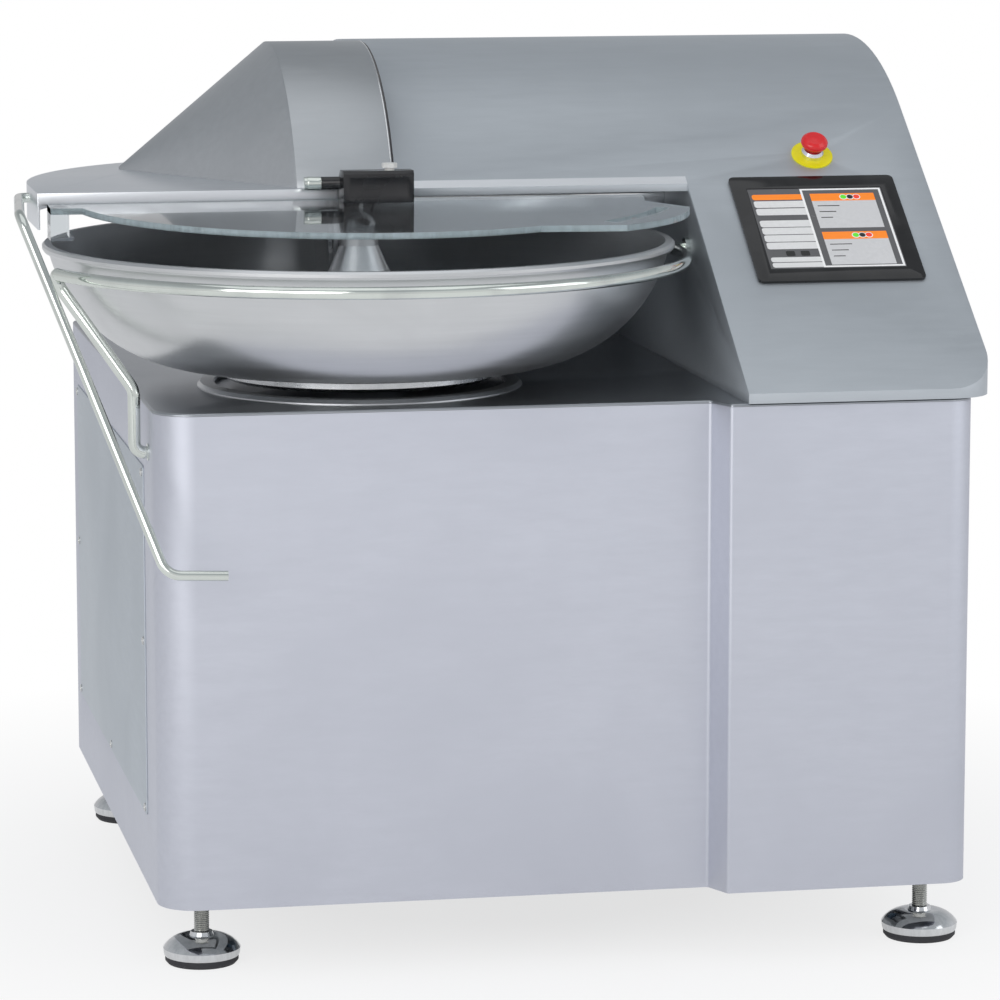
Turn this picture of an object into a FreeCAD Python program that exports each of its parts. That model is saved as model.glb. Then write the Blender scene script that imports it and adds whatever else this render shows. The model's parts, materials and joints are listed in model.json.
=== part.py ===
import FreeCAD, Part
import math
import os

from FreeCAD import Rotation, Vector

# Bowl cutter of the 50 litre class, in millimetres.
# The pieces are drawn from the point on the floor under the bowl's vertical axis, with +X to
# the operator's right, +Y to the back and +Z up. save() moves the origin to the front left foot.

# Cabinet
floor_gap = 90.0
deck_drop = 23.0
deck_plate_t = 4.0
bowl_overhang = 114.0
cabinet_right_in = 27.0
cabinet_front = -250.0
cabinet_back = 790.0
step_in = 39.0
step_run = 17.0
step_depth = 40.0
left_corner_r = 50.0
right_corner_r = 36.0
back_corner_r = 12.0
sheet = 2.5
cover_t = 2.0

# Control housing, whose side view is one bent sheet
housing_left = 50.0
wall_clear = 40.0
console_width = 330.0
housing_top = 1152.0
lip_front = -294.0
lip_top = 740.0
slope_deg = 34.6
roof_radius = 480.0
roof_back_radius = 120.0
housing_corner_r = 60.0
bridge_front = 50.5
bridge_lip = 9.7
bridge_floor_z = 983.0
console_front = 470.0

# Bowl
bowl_rim_r = 412.0
bowl_rim_top = 917.0
bowl_rim_band = 10.0
rim_flange = 6.0
knife_rise = 34.0
hub_neck_r = 22.0
bowl_t = 6.0
hub_cone_z = 872.0
hub_top_r = 17.0
hub_top = 922.0
bowl_foot_step = 114.0
bowl_foot_w = 40.0
bowl_foot_drop = 6.0

# Bowl drive
bowl_shaft_r = 30.0
spigot_r = 22.0
carrier_edge = 42.0
carrier_t = 12.0
collar_gap = 8.0
collar_w = 23.0
collar_t = 6.0
bowl_bearing_r = 48.0
bowl_bearing_w = 20.0
bowl_hub_r = 62.0
bowl_hub_len = 76.0
gear_module = 3.0
gear_teeth = 60
pinion_teeth = 20
gear_width = 20.0
gear_backlash = 0.6

# Knife shaft, whose axis is the centre line of the bowl's trough
shaft_r = 20.0
shaft_tube_r = 30.0
shaft_tube_bore = 26.0
shaft_tube_left = 52.0
block_wall_gap = 18.0
block_stop_gap = 17.0
bearing_block_r = 55.0
block_bearing_r = 38.0
block_bearing_w = 24.0
knife_tip_gap = 3.0
knife_t = 5.0
knife_pairs = 3
knife_pitch = 18.0
knife_hub_r = 42.0
knife_first_x = -31.0
spacer_r = 33.0
shoulder_r = 33.0
shoulder_w = 8.0

# Belt drive
motor_y = 330.0
motor_z = 320.0
motor_r = 125.0
motor_length = 325.0
motor_pulley_gap = 43.0
motor_shaft_r = 19.0
motor_pulley_r = 75.0
shaft_pulley_r = 60.0
pulley_in = 114.0
pulley_width = 44.0
belt_width = 40.0
belt_t = 6.0

# Knife hood
hood_over = 8.0
hood_back_in = 6.0
hood_front = -15.0
hood_right = 44.0
hood_top = 985.0
hood_skirt = 47.0
hood_lip = 16.0
hood_t = 3.0
ring_left = -81.0
ring_front = -20.0
ring_over = 97.0
ring_drop = 73.3
cone_tip_in = 145.0
cone_tip_back = 82.0
hinge_behind = 35.0
bracket_half = 12.0
hood_hinge_z = 1010.0
hinge_shaft_r = 12.0
hinge_barrel_r = 21.0

# Clear lid
lid_r = 373.0
lid_overlap = 2.0
lid_tilt_deg = 1.6
lid_t = 8.0
lid_back = -17.0
lid_hinge_y = -25.0
lid_hinge_z = 993.0
lid_pin_r = 5.0
knuckle_r = 9.0
block_left = -30.0
block_right = 62.0
block_front = -64.0
hinge_cover = 18.0
button_r = 9.5
button_stroke = 3.0
button_well = 12.0
hinge_leg_t = 6.0

# Rods
rail_r = 8.0
rail_gap = 8.0
rail_z = 893.0
rail_end_deg = 198.0
lever_r = 6.5

# Operator's controls, measured up the slope from the lip
panel_in = 56.0
panel_width = 227.0
panel_low = 212.0
panel_height = 214.0
panel_proud = 4.0
panel_depth = 55.0
screen_margin_x = 21.0
screen_margin_y = 25.0
stop_in = 183.0
stop_up = 474.0
stop_plate_r = 28.0
stop_collar_r = 15.0
stop_head_r = 18.0
stop_stroke = 5.0
stop_contact_w = 36.0

# Frame and feet
foot_left_in = 62.0
foot_right_in = 43.0
foot_left_front = -158.0
foot_right_front = -205.0
foot_back = 690.0
tube = 40.0
tube_wall = 3.0
foot_plate_t = 10.0
foot_r = 50.0
foot_pad_t = 12.0
foot_dome_top = 41.0
stud_r = 10.0
nut_across = 30.0
nut_height = 9.0

# Fits
running_fit = 0.05
seat_gap = 0.3

# Bowl, whose size moves the cabinet's sides, the deck, the hood and the console with it
slope = math.radians(slope_deg)
trough_r = (bowl_rim_r - hub_neck_r) / 2
trough_y = math.sqrt(trough_r ** 2 - knife_rise ** 2)
trough_mid = bowl_rim_r - rim_flange - trough_y
knife_z = bowl_rim_top + knife_rise
knife_r = trough_r - bowl_t - knife_tip_gap
bowl_foot_in = trough_mid - bowl_foot_step
bowl_foot_out = bowl_foot_in + bowl_foot_w
bowl_foot_z = knife_z - trough_r - bowl_foot_drop
carrier_r = bowl_foot_out + carrier_edge
collar_in = carrier_r + collar_gap
collar_out = collar_in + collar_w

# Cabinet and housing
deck_top = bowl_foot_z - deck_drop
cabinet_top = deck_top - deck_plate_t
housing_wall = bowl_rim_r + wall_clear
housing_right = housing_wall + console_width
cabinet_left = bowl_overhang - bowl_rim_r
cabinet_right = housing_right - cabinet_right_in
step_x = housing_wall - step_in
right_front = cabinet_front - step_depth
roof_z = housing_top - roof_radius
roof_y = lip_front + (roof_radius + math.cos(slope) * (roof_z - lip_top)) / math.sin(slope)
roof_back_y = cabinet_back - roof_back_radius
roof_back_z = roof_z + math.sqrt((roof_radius - roof_back_radius) ** 2 - (roof_back_y - roof_y) ** 2)

# Drive and controls
panel_left = housing_wall + panel_in
stop_x = housing_wall + stop_in
bearing_block_left = housing_wall + block_wall_gap
bearing_block_right = stop_x - stop_contact_w / 2 - block_stop_gap
shaft_tube_right = bearing_block_left
pulley_left = housing_right - pulley_in
motor_right = pulley_left - motor_pulley_gap
motor_left = motor_right - motor_length

# Hood, lid, rail and feet
ring_r = knife_r + ring_over
ring_y = ring_front + ring_r
ring_z = knife_z - ring_drop
hood_left_r = bowl_rim_r + hood_over
hood_back = ring_y + ring_r - hood_back_in
hood_centre_y = hood_back - hood_left_r
hood_hinge_y = hood_back + hinge_behind
bracket_front = hood_back - bracket_half
bracket_back = hood_back + bracket_half
cone_tip_x = -hood_left_r + cone_tip_in
cone_tip_y = ring_y + cone_tip_back
lid_top = hood_top - hood_lip + lid_overlap
lid_bottom = lid_top - lid_t
rail_ring_r = bowl_rim_r + rail_gap + rail_r
foot_left_x = cabinet_left + foot_left_in
foot_right_x = cabinet_right - foot_right_in
foot_places = [(foot_left_x, foot_left_front), (foot_right_x, foot_right_front),
               (foot_left_x, foot_back), (foot_right_x, foot_back)]

os.makedirs("parts", exist_ok=True)


def save(shape, name):
    placed = shape.copy()
    placed.translate(Vector(-foot_places[0][0], -foot_places[0][1], 0))
    placed.exportStep("parts/" + name + ".step")


def box(x0, x1, y0, y1, z0, z1):
    return Part.makeBox(x1 - x0, y1 - y0, z1 - z0, Vector(x0, y0, z0))


def rod_x(radius, x0, x1, y, z):
    return Part.makeCylinder(radius, x1 - x0, Vector(x0, y, z), Vector(1, 0, 0))


def rod_y(radius, y0, y1, x, z):
    return Part.makeCylinder(radius, y1 - y0, Vector(x, y0, z), Vector(0, 1, 0))


def rod_z(radius, z0, z1, x=0.0, y=0.0):
    return Part.makeCylinder(radius, z1 - z0, Vector(x, y, z0))


def ring_z_axis(outer, inner, z0, z1, x=0.0, y=0.0):
    return rod_z(outer, z0, z1, x, y).cut(rod_z(inner, z0 - 1, z1 + 1, x, y))


def ring_x_axis(outer, inner, x0, x1, y, z):
    return rod_x(outer, x0, x1, y, z).cut(rod_x(inner, x0 - 1, x1 + 1, y, z))


def join(shapes):
    result = shapes[0]
    for shape in shapes[1:]:
        result = result.fuse(shape)
    return result.removeSplitter()


def corner_points(before, corner, after, radius):
    """Start, middle and end of the arc that rounds a corner."""
    back = (before - corner).normalize()
    ahead = (after - corner).normalize()
    half = back.getAngle(ahead) / 2
    reach = radius / math.tan(half)
    to_centre = (back + ahead).normalize()
    centre = corner + to_centre * (radius / math.sin(half))
    return corner + back * reach, centre - to_centre * radius, corner + ahead * reach


def outline(points):
    """Closed wire in the XY plane. Each point is (x, y) or (x, y, corner radius)."""
    corners = [Vector(p[0], p[1], 0) for p in points]
    radii = [p[2] if len(p) > 2 else 0 for p in points]
    count = len(points)
    starts, edges = [], []
    ends = []
    for i in range(count):
        if radii[i] > 0:
            a, m, b = corner_points(corners[i - 1], corners[i], corners[(i + 1) % count], radii[i])
            edges.append((i, Part.Arc(a, m, b).toShape()))
            starts.append(a)
            ends.append(b)
        else:
            starts.append(corners[i])
            ends.append(corners[i])
    arcs = dict(edges)
    ordered = []
    for i in range(count):
        if i in arcs:
            ordered.append(arcs[i])
        following = starts[(i + 1) % count]
        if (following - ends[i]).Length > 1e-6:
            ordered.append(Part.LineSegment(ends[i], following).toShape())
    return Part.Wire(ordered)


def plate(points, z0, z1):
    """Flat prism with a plan outline."""
    solid = Part.Face(outline(points)).extrude(Vector(0, 0, z1 - z0))
    solid.translate(Vector(0, 0, z0))
    return solid


def along_x(face, x0, x1):
    """Prism along X of a face drawn with Y and Z in the XY plane."""
    solid = face.extrude(Vector(0, 0, x1 - x0))
    solid.translate(Vector(0, 0, x0))
    solid.rotate(Vector(0, 0, 0), Vector(1, 1, 1), 120)
    return solid


def profile_x(points, x0, x1):
    return along_x(Part.Face(outline(points)), x0, x1)


def turned(edges_points, centre_x=0.0, centre_y=0.0):
    """Solid of revolution about a vertical axis. Items are points or three-point arcs."""
    edges = []
    last = Vector(*edges_points[0])
    first = last
    for item in edges_points[1:]:
        if isinstance(item[0], tuple):
            mid, end = Vector(item[0][0], 0, item[0][1]), Vector(item[1][0], 0, item[1][1])
            edges.append(Part.Arc(last, mid, end).toShape())
        else:
            end = Vector(*item)
            edges.append(Part.LineSegment(last, end).toShape())
        last = end
    edges.append(Part.LineSegment(last, first).toShape())
    solid = Part.Face(Part.Wire(edges)).revolve(Vector(0, 0, 0), Vector(0, 0, 1), 360)
    solid.translate(Vector(centre_x, centre_y, 0))
    return Part.Solid(solid) if solid.ShapeType != "Solid" else solid


def turned_points(points, centre_x=0.0, centre_y=0.0):
    return turned([(r, 0, z) for r, z in points], centre_x, centre_y)


def bent_rod(points, radii, radius, arc_after=None):
    """Round rod along straight runs and corner arcs. arc_after maps a run to its mid point."""
    arc_after = arc_after or {}
    nodes = [Vector(*p) for p in points]
    edges = []
    here = nodes[0]
    for i in range(1, len(nodes)):
        if i - 1 in arc_after:
            edges.append(Part.Arc(here, Vector(*arc_after[i - 1]), nodes[i]).toShape())
            here = nodes[i]
            continue
        if i < len(nodes) - 1 and radii[i] > 0:
            a, m, b = corner_points(nodes[i - 1], nodes[i], nodes[i + 1], radii[i])
            edges.append(Part.LineSegment(here, a).toShape())
            edges.append(Part.Arc(a, m, b).toShape())
            here = b
        else:
            edges.append(Part.LineSegment(here, nodes[i]).toShape())
            here = nodes[i]
    path = Part.Wire(edges)
    start = nodes[0]
    circle = Part.Wire(Part.makeCircle(radius, start, nodes[1] - nodes[0]))
    return path.makePipeShell([circle], True, True)


def on_slope(shape, x, up):
    """Puts a shape drawn flat on the housing's slope, with local Y up the slope."""
    moved = shape.copy()
    moved.rotate(Vector(0, 0, 0), Vector(1, 0, 0), slope_deg)
    moved.translate(Vector(x, lip_front + up * math.cos(slope), lip_top + up * math.sin(slope)))
    return moved


# Cabinet
def cabinet_plan(inset, grow=0.0):
    """Plan of the cabinet, drawn in by a sheet thickness."""
    side = inset * math.tan(math.atan2(step_depth, step_run) / 2)
    return [
        (cabinet_left + inset, cabinet_back - inset, back_corner_r - inset),
        (cabinet_left + inset, cabinet_front + inset, left_corner_r - inset),
        (step_x + side, cabinet_front + inset, 5),
        (step_x + step_run + side, right_front + inset, 5),
        (cabinet_right - inset, right_front + inset, right_corner_r - inset),
        (cabinet_right - inset, cabinet_back - inset, back_corner_r - inset),
    ]


cover_front, cover_back = -110.0, 712.0
cover_low, cover_high = 185.0, 642.0
cover_lap = 18.0
rear_left, rear_right = cabinet_left + 40, cabinet_right - 40
rear_low, rear_high = floor_gap + 24, cabinet_top - 20


def cabinet_shell():
    shell = plate(cabinet_plan(0), floor_gap, cabinet_top).cut(
        plate(cabinet_plan(sheet), floor_gap - 1, cabinet_top + 1))
    side_hole = box(cabinet_left - 1, cabinet_left + sheet + 1, cover_front + cover_lap,
                    cover_back - cover_lap, cover_low + cover_lap, cover_high - cover_lap)
    rear_hole = box(rear_left + cover_lap, rear_right - cover_lap, cabinet_back - sheet - 1,
                    cabinet_back + 1, rear_low + cover_lap, rear_high - cover_lap)
    rail_hole = rod_x(rail_r + 0.5, cabinet_left - 1, cabinet_left + sheet + 1, rail_foot_y, rail_foot_z)
    return shell.cut(side_hole).cut(rear_hole).cut(rail_hole)


def side_screw_places():
    front, back = cover_front + cover_lap / 2, cover_back - cover_lap / 2
    low, high = cover_low + cover_lap / 2, cover_high - cover_lap / 2
    middle = (front + back) / 2
    return [(front, low), (front, (low + high) / 2), (front, high), (middle, low), (middle, high),
            (back, low), (back, (low + high) / 2), (back, high)]


def inspection_cover():
    cover = plate([(cover_front, cover_low, 6), (cover_back, cover_low, 6),
                   (cover_back, cover_high, 6), (cover_front, cover_high, 6)], 0, cover_t)
    cover.rotate(Vector(0, 0, 0), Vector(1, 1, 1), 120)
    cover.translate(Vector(cabinet_left - cover_t, 0, 0))
    return cover


def cover_screws():
    heads = []
    for y, z in side_screw_places():
        head = rod_x(5.5, cabinet_left - cover_t - 2.2, cabinet_left - cover_t, y, z)
        heads.append(head)
    return Part.makeCompound(heads)


slot_left = 120.0
slot_length = 150.0
slot_height = 8.0
slot_columns, slot_rows = 2, 9
slot_column_pitch, slot_row_pitch = 190.0, 26.0


def slot_places():
    """Left end and lower edge of each vent slot."""
    return [(slot_left + column * slot_column_pitch, rear_high - slot_length - row * slot_row_pitch)
            for column in range(slot_columns) for row in range(slot_rows)]


def rear_panel():
    panel = box(rear_left, rear_right, cabinet_back, cabinet_back + cover_t, rear_low, rear_high)
    for x, z in slot_places():
        slot = box(x, x + slot_length, cabinet_back - 1, cabinet_back + cover_t + 1, z, z + slot_height)
        panel = panel.cut(slot)
    gland_hole = rod_y(gland_r, cabinet_back - 1, cabinet_back + cover_t + 1, gland_x, gland_z)
    return panel.cut(gland_hole)


def rear_louvres():
    """Hoods that keep water out of the vent slots."""
    hoods = []
    back = cabinet_back + cover_t
    for x, z in slot_places():
        top = z + slot_height + 1
        hood = profile_x([(back, top), (back + 7, top - 8), (back + 7, top - 10), (back + 6, top - 10),
                          (back, top - 3)], x - 3, x + slot_length + 3)
        hoods.append(hood)
    return hoods


gland_x, gland_z, gland_r = -180.0, 210.0, 16.0


def cable_gland():
    back = cabinet_back + cover_t
    body = rod_y(gland_r - 0.2, cabinet_back - 14, back + 30, gland_x, gland_z)
    flange = rod_y(24, back, back + 9, gland_x, gland_z)
    dome = rod_y(20, back + 9, back + 26, gland_x, gland_z)
    nut = rod_y(22, cabinet_back - 8, cabinet_back, gland_x, gland_z)
    bore = rod_y(8, cabinet_back - 20, back + 40, gland_x, gland_z)
    return join([body, flange, dome, nut]).cut(bore)


# Frame
frame_left = cabinet_left + sheet
frame_right = cabinet_right - sheet
frame_front = cabinet_front + sheet
frame_back = cabinet_back - sheet
post_front = cabinet_front + left_corner_r + 3
bowl_beam_x = 140.0
pedestal_x0, pedestal_x1 = bearing_block_left + 10, bearing_block_right - 10


def frame_boxes(inset):
    """Rails and posts of the welded tube frame, drawn in by the tube's wall."""
    i = inset
    boxes = []
    for low in (floor_gap, cabinet_top - tube):
        z0, z1 = low + i, low + tube - i
        boxes.append(box(frame_left + i, frame_left + tube - i, post_front + i, frame_back - i, z0, z1))
        boxes.append(box(frame_right - tube + i, frame_right - i, frame_front + i, frame_back - i, z0, z1))
        boxes.append(box(frame_left + left_corner_r + i, frame_right - i, frame_front + i,
                         frame_front + tube - i, z0, z1))
        boxes.append(box(frame_left + i, frame_right - i, frame_back - tube + i, frame_back - i, z0, z1))
    z0, z1 = floor_gap + i, cabinet_top - i
    for x in (frame_left, frame_right - tube):
        boxes.append(box(x + i, x + tube - i, frame_back - tube + i, frame_back - i, z0, z1))
    boxes.append(box(frame_left + i, frame_left + tube - i, post_front + i, post_front + tube - i, z0, z1))
    boxes.append(box(frame_right - tube + i, frame_right - i, frame_front + i, frame_front + tube - i, z0, z1))
    top0, top1 = cabinet_top - tube + i, cabinet_top - i
    for x in (-bowl_beam_x - tube / 2, bowl_beam_x - tube / 2, pedestal_x0 - 10, pedestal_x1 - tube + 10):
        boxes.append(box(x + i, x + tube - i, frame_front + i, frame_back - i, top0, top1))
    low0, low1 = floor_gap + i, floor_gap + tube - i
    for x in (motor_left + 40, motor_right - 40 - tube):
        boxes.append(box(x + i, x + tube - i, frame_front + i, frame_back - i, low0, low1))
    for x in (-190.0, 60.0):
        boxes.append(box(x + i, x + tube - i, frame_front + i, frame_back - i, low0, low1))
    return boxes


def base_frame():
    frame = join(frame_boxes(0)).cut(join(frame_boxes(tube_wall)))
    bed = box(motor_left + 40, motor_right - 40, motor_y - 130, motor_y + 130,
              floor_gap + tube, motor_base_z)
    frame = frame.fuse(bed)
    for x, y in foot_places:
        pad = box(x - 38, x + 38, y - 40, y + 40, floor_gap, floor_gap + foot_plate_t)
        frame = frame.fuse(pad).cut(rod_z(stud_r + 0.1, floor_gap - 1, floor_gap + tube + 1, x, y))
    return frame.common(plate(cabinet_plan(sheet), floor_gap, cabinet_top)).removeSplitter()


def hexagon(across, z0, z1, x, y):
    radius = across / math.sqrt(3)
    corners = [(x + radius * math.cos(math.radians(60 * k)), y + radius * math.sin(math.radians(60 * k)))
               for k in range(6)]
    return plate(corners, z0, z1)


def foot_studs():
    """Studs, each with the lock nut that holds it under the frame's foot plate."""
    studs = []
    for x, y in foot_places:
        studs.append(rod_z(stud_r, foot_pad_t + 1, floor_gap + tube - 8, x, y))
        nut = hexagon(nut_across, floor_gap - nut_height, floor_gap, x, y)
        studs.append(nut.cut(rod_z(stud_r, 0, floor_gap + 1, x, y)))
    return Part.makeCompound(studs)


def foot_domes():
    domes = []
    bore = stud_r + running_fit
    for x, y in foot_places:
        dome = turned([(bore, 0, foot_dome_top), (14, 0, foot_dome_top), (16, 0, foot_dome_top - 5),
                       ((foot_r - 11, foot_dome_top - 10), (foot_r, foot_pad_t + 8)),
                       (foot_r - 1, 0, foot_pad_t), (foot_r - 2, 0, foot_pad_t - 2),
                       (foot_r - 5, 0, foot_pad_t - 2), (foot_r - 5, 0, foot_pad_t),
                       (bore, 0, foot_pad_t)], x, y)
        domes.append(dome)
    return Part.makeCompound(domes)


def foot_pads():
    seat = foot_r - 5 - seat_gap
    brim = foot_pad_t - 2 - seat_gap
    return Part.makeCompound([turned_points([(0, 0), (foot_r - 6, 0), (foot_r - 2.5, 4),
                                             (foot_r - 2.5, brim), (seat, brim),
                                             (seat, foot_pad_t), (0, foot_pad_t)], x, y)
                              for x, y in foot_places])


# Deck
deck_hole_r = 60.0
well_right = housing_right - 60


def deck_plate():
    deck = plate(cabinet_plan(0), cabinet_top, deck_top)
    edges = [e for e in deck.Edges
             if abs(e.BoundBox.ZMin - deck_top) < 1e-6 and e.BoundBox.XMax < step_x + step_run + 1
             and e.BoundBox.YMax < cabinet_back - 1]
    deck = deck.makeFillet(deck_plate_t - 0.6, edges)
    deck = deck.cut(rod_z(deck_hole_r, cabinet_top - 1, deck_top + 1))
    well = box(pulley_left - 12, well_right, 100, 480, cabinet_top - 1, deck_top + 1)
    cables = box(housing_wall + 60, housing_wall + 140, -120, 20, cabinet_top - 1, deck_top + 1)
    lip = ring_z_axis(deck_hole_r + 12, deck_hole_r, deck_top, deck_top + 8)
    return deck.cut(well).cut(cables).fuse(lip)


def deck_collar():
    ring = turned_points([(collar_in, deck_top), (collar_in, deck_top + collar_t - 2),
                          (collar_in + 2, deck_top + collar_t), (collar_out - 4, deck_top + collar_t),
                          (collar_out, deck_top + 1.5), (collar_out, deck_top)])
    return ring


# Control housing
def slope_points(inset):
    """Ends of the slope in Y and Z. Its upper end is tangent to the roof's arc."""
    radius = roof_radius - inset
    normal = (-math.sin(slope), math.cos(slope))
    tangent = Vector(roof_y + normal[0] * radius, roof_z + normal[1] * radius, 0)
    low = Vector(lip_front + inset, 0, 0)
    shift = (tangent.x - low.x) * math.tan(slope)
    low.y = tangent.y - shift
    return low, tangent


def on_arc(centre_y, centre_z, radius, angle):
    return Vector(centre_y + radius * math.cos(angle), centre_z + radius * math.sin(angle), 0)


def housing_side(inset, base_z):
    low, tangent = slope_points(inset)
    back = cabinet_back - inset
    radius = roof_radius - inset
    turn = roof_back_radius - inset
    meet = math.atan2(roof_back_z - roof_z, roof_back_y - roof_y)
    crown = on_arc(roof_y, roof_z, radius, (math.pi / 2 + slope + meet) / 2)
    roof_end = on_arc(roof_y, roof_z, radius, meet)
    back_mid = on_arc(roof_back_y, roof_back_z, turn, meet / 2)
    back_top = Vector(back, roof_back_z, 0)
    edges = [
        Part.LineSegment(Vector(low.x, base_z, 0), low).toShape(),
        Part.LineSegment(low, tangent).toShape(),
        Part.Arc(tangent, crown, roof_end).toShape(),
        Part.Arc(roof_end, back_mid, back_top).toShape(),
        Part.LineSegment(back_top, Vector(back, base_z, 0)).toShape(),
        Part.LineSegment(Vector(back, base_z, 0), Vector(low.x, base_z, 0)).toShape(),
    ]
    return Part.Face(Part.Wire(edges))


def housing_body(inset, base_z, floor_z):
    left = housing_left + inset
    wall = housing_wall + inset
    right = housing_right - inset
    tower = along_x(housing_side(inset, base_z), wall, right)
    corner = plate([(wall, lip_front + inset), (right, lip_front + inset, housing_corner_r - inset),
                    (right, cabinet_back - inset), (wall, cabinet_back - inset)], base_z, housing_top + 1)
    tower = tower.common(corner)
    bridge = along_x(housing_side(inset, base_z), left, wall)
    bridge = bridge.common(box(left, wall, bridge_front + inset, cabinet_back, floor_z, housing_top))
    console = box(left, wall, console_front + inset, cabinet_back - inset, base_z, floor_z)
    return join([tower, bridge, console])


def slope_height(y):
    return lip_top + (y - lip_front) * math.tan(slope)


rear_hatch = (housing_left + 60, housing_right - 60, deck_top + 50, roof_back_z - 20)


def control_housing():
    lip_z = slope_height(bridge_front) - bridge_lip
    outer = housing_body(0, deck_top, lip_z)
    inner = housing_body(sheet, deck_top - 1, bridge_floor_z + sheet)
    shell = outer.cut(inner)
    recess = box(housing_left + sheet, housing_wall, bridge_front + sheet, console_front,
                 lip_z - 1, bridge_floor_z)
    shell = shell.cut(recess)
    x0, x1, z0, z1 = rear_hatch
    hatch = box(x0 + cover_lap, x1 - cover_lap, cabinet_back - sheet - 1, cabinet_back + 1,
                z0 + cover_lap, z1 - cover_lap)
    tube_hole = rod_x(shaft_tube_r + 1, housing_left - 1, housing_wall + sheet + 1, trough_mid, knife_z)
    hinge_hole = rod_x(hinge_shaft_r + 0.2, housing_left - 1, housing_left + sheet + 1,
                       hood_hinge_y, hood_hinge_z)
    shell = shell.cut(hatch).cut(tube_hole).cut(hinge_hole)
    pocket = box(screen_margin_x / 2, panel_width - screen_margin_x / 2, screen_margin_y / 2,
                 panel_height - screen_margin_y / 2, -sheet - 2, 2)
    shell = shell.cut(on_slope(pocket, panel_left, panel_low))
    stop_hole = rod_z(stop_collar_r - 3.8, -sheet - 2, 2)
    rail_hole = rod_x(rail_r + 0.5, housing_wall - 1, housing_wall + sheet + 1, rail_wall_y, rail_z)
    return shell.cut(on_slope(stop_hole, stop_x, stop_up)).cut(rail_hole)


def housing_rear_panel():
    x0, x1, z0, z1 = rear_hatch
    return box(x0, x1, cabinet_back, cabinet_back + cover_t, z0, z1)


# Guard rail in front of the bowl
rail_wall_y = 44.0
rail_foot_y = -165.0
rail_foot_z = 668.0
rail_bend_z = 748.0
rail_foot_x = cabinet_left - 18.0


def rail_end():
    angle = math.radians(rail_end_deg)
    return Vector(rail_ring_r * math.cos(angle), rail_ring_r * math.sin(angle), rail_z)


def guard_rail():
    angle = math.radians(rail_end_deg)
    end = rail_end()
    ahead = Vector(math.sin(angle), -math.cos(angle), 0)
    corner = end + ahead * 26
    half = math.radians((rail_end_deg + 360) / 2)
    middle = (rail_ring_r * math.cos(half), rail_ring_r * math.sin(half), rail_z)
    points = [(housing_wall + 14, rail_wall_y, rail_z), (rail_ring_r, rail_wall_y, rail_z),
              (rail_ring_r, 0, rail_z), tuple(end), tuple(corner),
              (rail_foot_x, rail_foot_y, rail_bend_z), (rail_foot_x, rail_foot_y, rail_foot_z),
              (cabinet_left + sheet, rail_foot_y, rail_foot_z)]
    return bent_rod(points, [0, 18, 0, 0, 18, 24, 13, 0], rail_r, {2: middle})


def rail_sockets():
    """Rosettes where the rail enters the two sheets."""
    wall = ring_x_axis(rail_r + 6, rail_r + running_fit, housing_wall - 6, housing_wall,
                       rail_wall_y, rail_z)
    foot = ring_x_axis(rail_r + 3, rail_r + running_fit, cabinet_left - 2, cabinet_left,
                       rail_foot_y, rail_foot_z)
    return Part.makeCompound([wall, foot])


# Bowl
def arc_z(radius, r):
    return knife_z - math.sqrt(radius ** 2 - (trough_mid - r) ** 2)


def arc_r(radius, z, side):
    return trough_mid + side * math.sqrt(radius ** 2 - (knife_z - z) ** 2)


def bowl():
    inner_r = trough_r - bowl_t
    band_low = bowl_rim_top - bowl_rim_band
    outer_band = arc_r(trough_r, band_low, 1)
    under_r = bowl_foot_in - 38
    under_mid = (under_r + bowl_foot_in) / 2
    boss_r = spigot_r + 14
    solid = turned([
        (spigot_r + running_fit, 0, bowl_foot_z),
        (boss_r, 0, bowl_foot_z),
        (boss_r, 0, arc_z(trough_r, under_r) + 24),
        (under_r, 0, arc_z(trough_r, under_r)),
        ((under_mid, arc_z(trough_r, under_mid)), (bowl_foot_in, arc_z(trough_r, bowl_foot_in))),
        (bowl_foot_in, 0, bowl_foot_z),
        (bowl_foot_out, 0, bowl_foot_z),
        (bowl_foot_out, 0, arc_z(trough_r, bowl_foot_out)),
        ((trough_mid + 110, arc_z(trough_r, trough_mid + 110)), (outer_band, band_low)),
        (bowl_rim_r - 2, 0, band_low),
        (bowl_rim_r, 0, band_low + 3),
        (bowl_rim_r, 0, bowl_rim_top - 3),
        (bowl_rim_r - 3, 0, bowl_rim_top),
        (arc_r(inner_r, bowl_rim_top, 1), 0, bowl_rim_top),
        ((trough_mid, knife_z - inner_r), (arc_r(inner_r, hub_cone_z, -1), hub_cone_z)),
        (hub_top_r + 8, 0, hub_top - 12),
        (hub_top_r + 8, 0, hub_top),
        (spigot_r + running_fit, 0, hub_top),
    ])
    return solid


def bowl_shaft():
    top = hub_top + 14
    carrier_low = bowl_foot_z - carrier_t
    low = gear_low - 6
    solid = turned_points([(0, low), (bowl_shaft_r - 6, low), (bowl_shaft_r - 6, gear_low + gear_width),
                           (bowl_shaft_r, gear_low + gear_width), (bowl_shaft_r, carrier_low),
                           (carrier_r - 8, carrier_low), (carrier_r, carrier_low + 5),
                           (carrier_r, bowl_foot_z), (spigot_r, bowl_foot_z), (spigot_r, hub_top),
                           (spigot_r - 8, hub_top), (spigot_r - 8, top), (0, top)])
    return solid


def hub_cap():
    base = hub_top
    cap = turned([(spigot_r - 8 + running_fit, 0, base), (hub_top_r + 7, 0, base),
                  (hub_top_r + 7, 0, base + 8), ((hub_top_r, base + 18), (4, base + 24)),
                  (0, 0, base + 24), (0, 0, base + 14 + seat_gap), (spigot_r - 8 + running_fit, 0, base + 14 + seat_gap)])
    return cap


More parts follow.
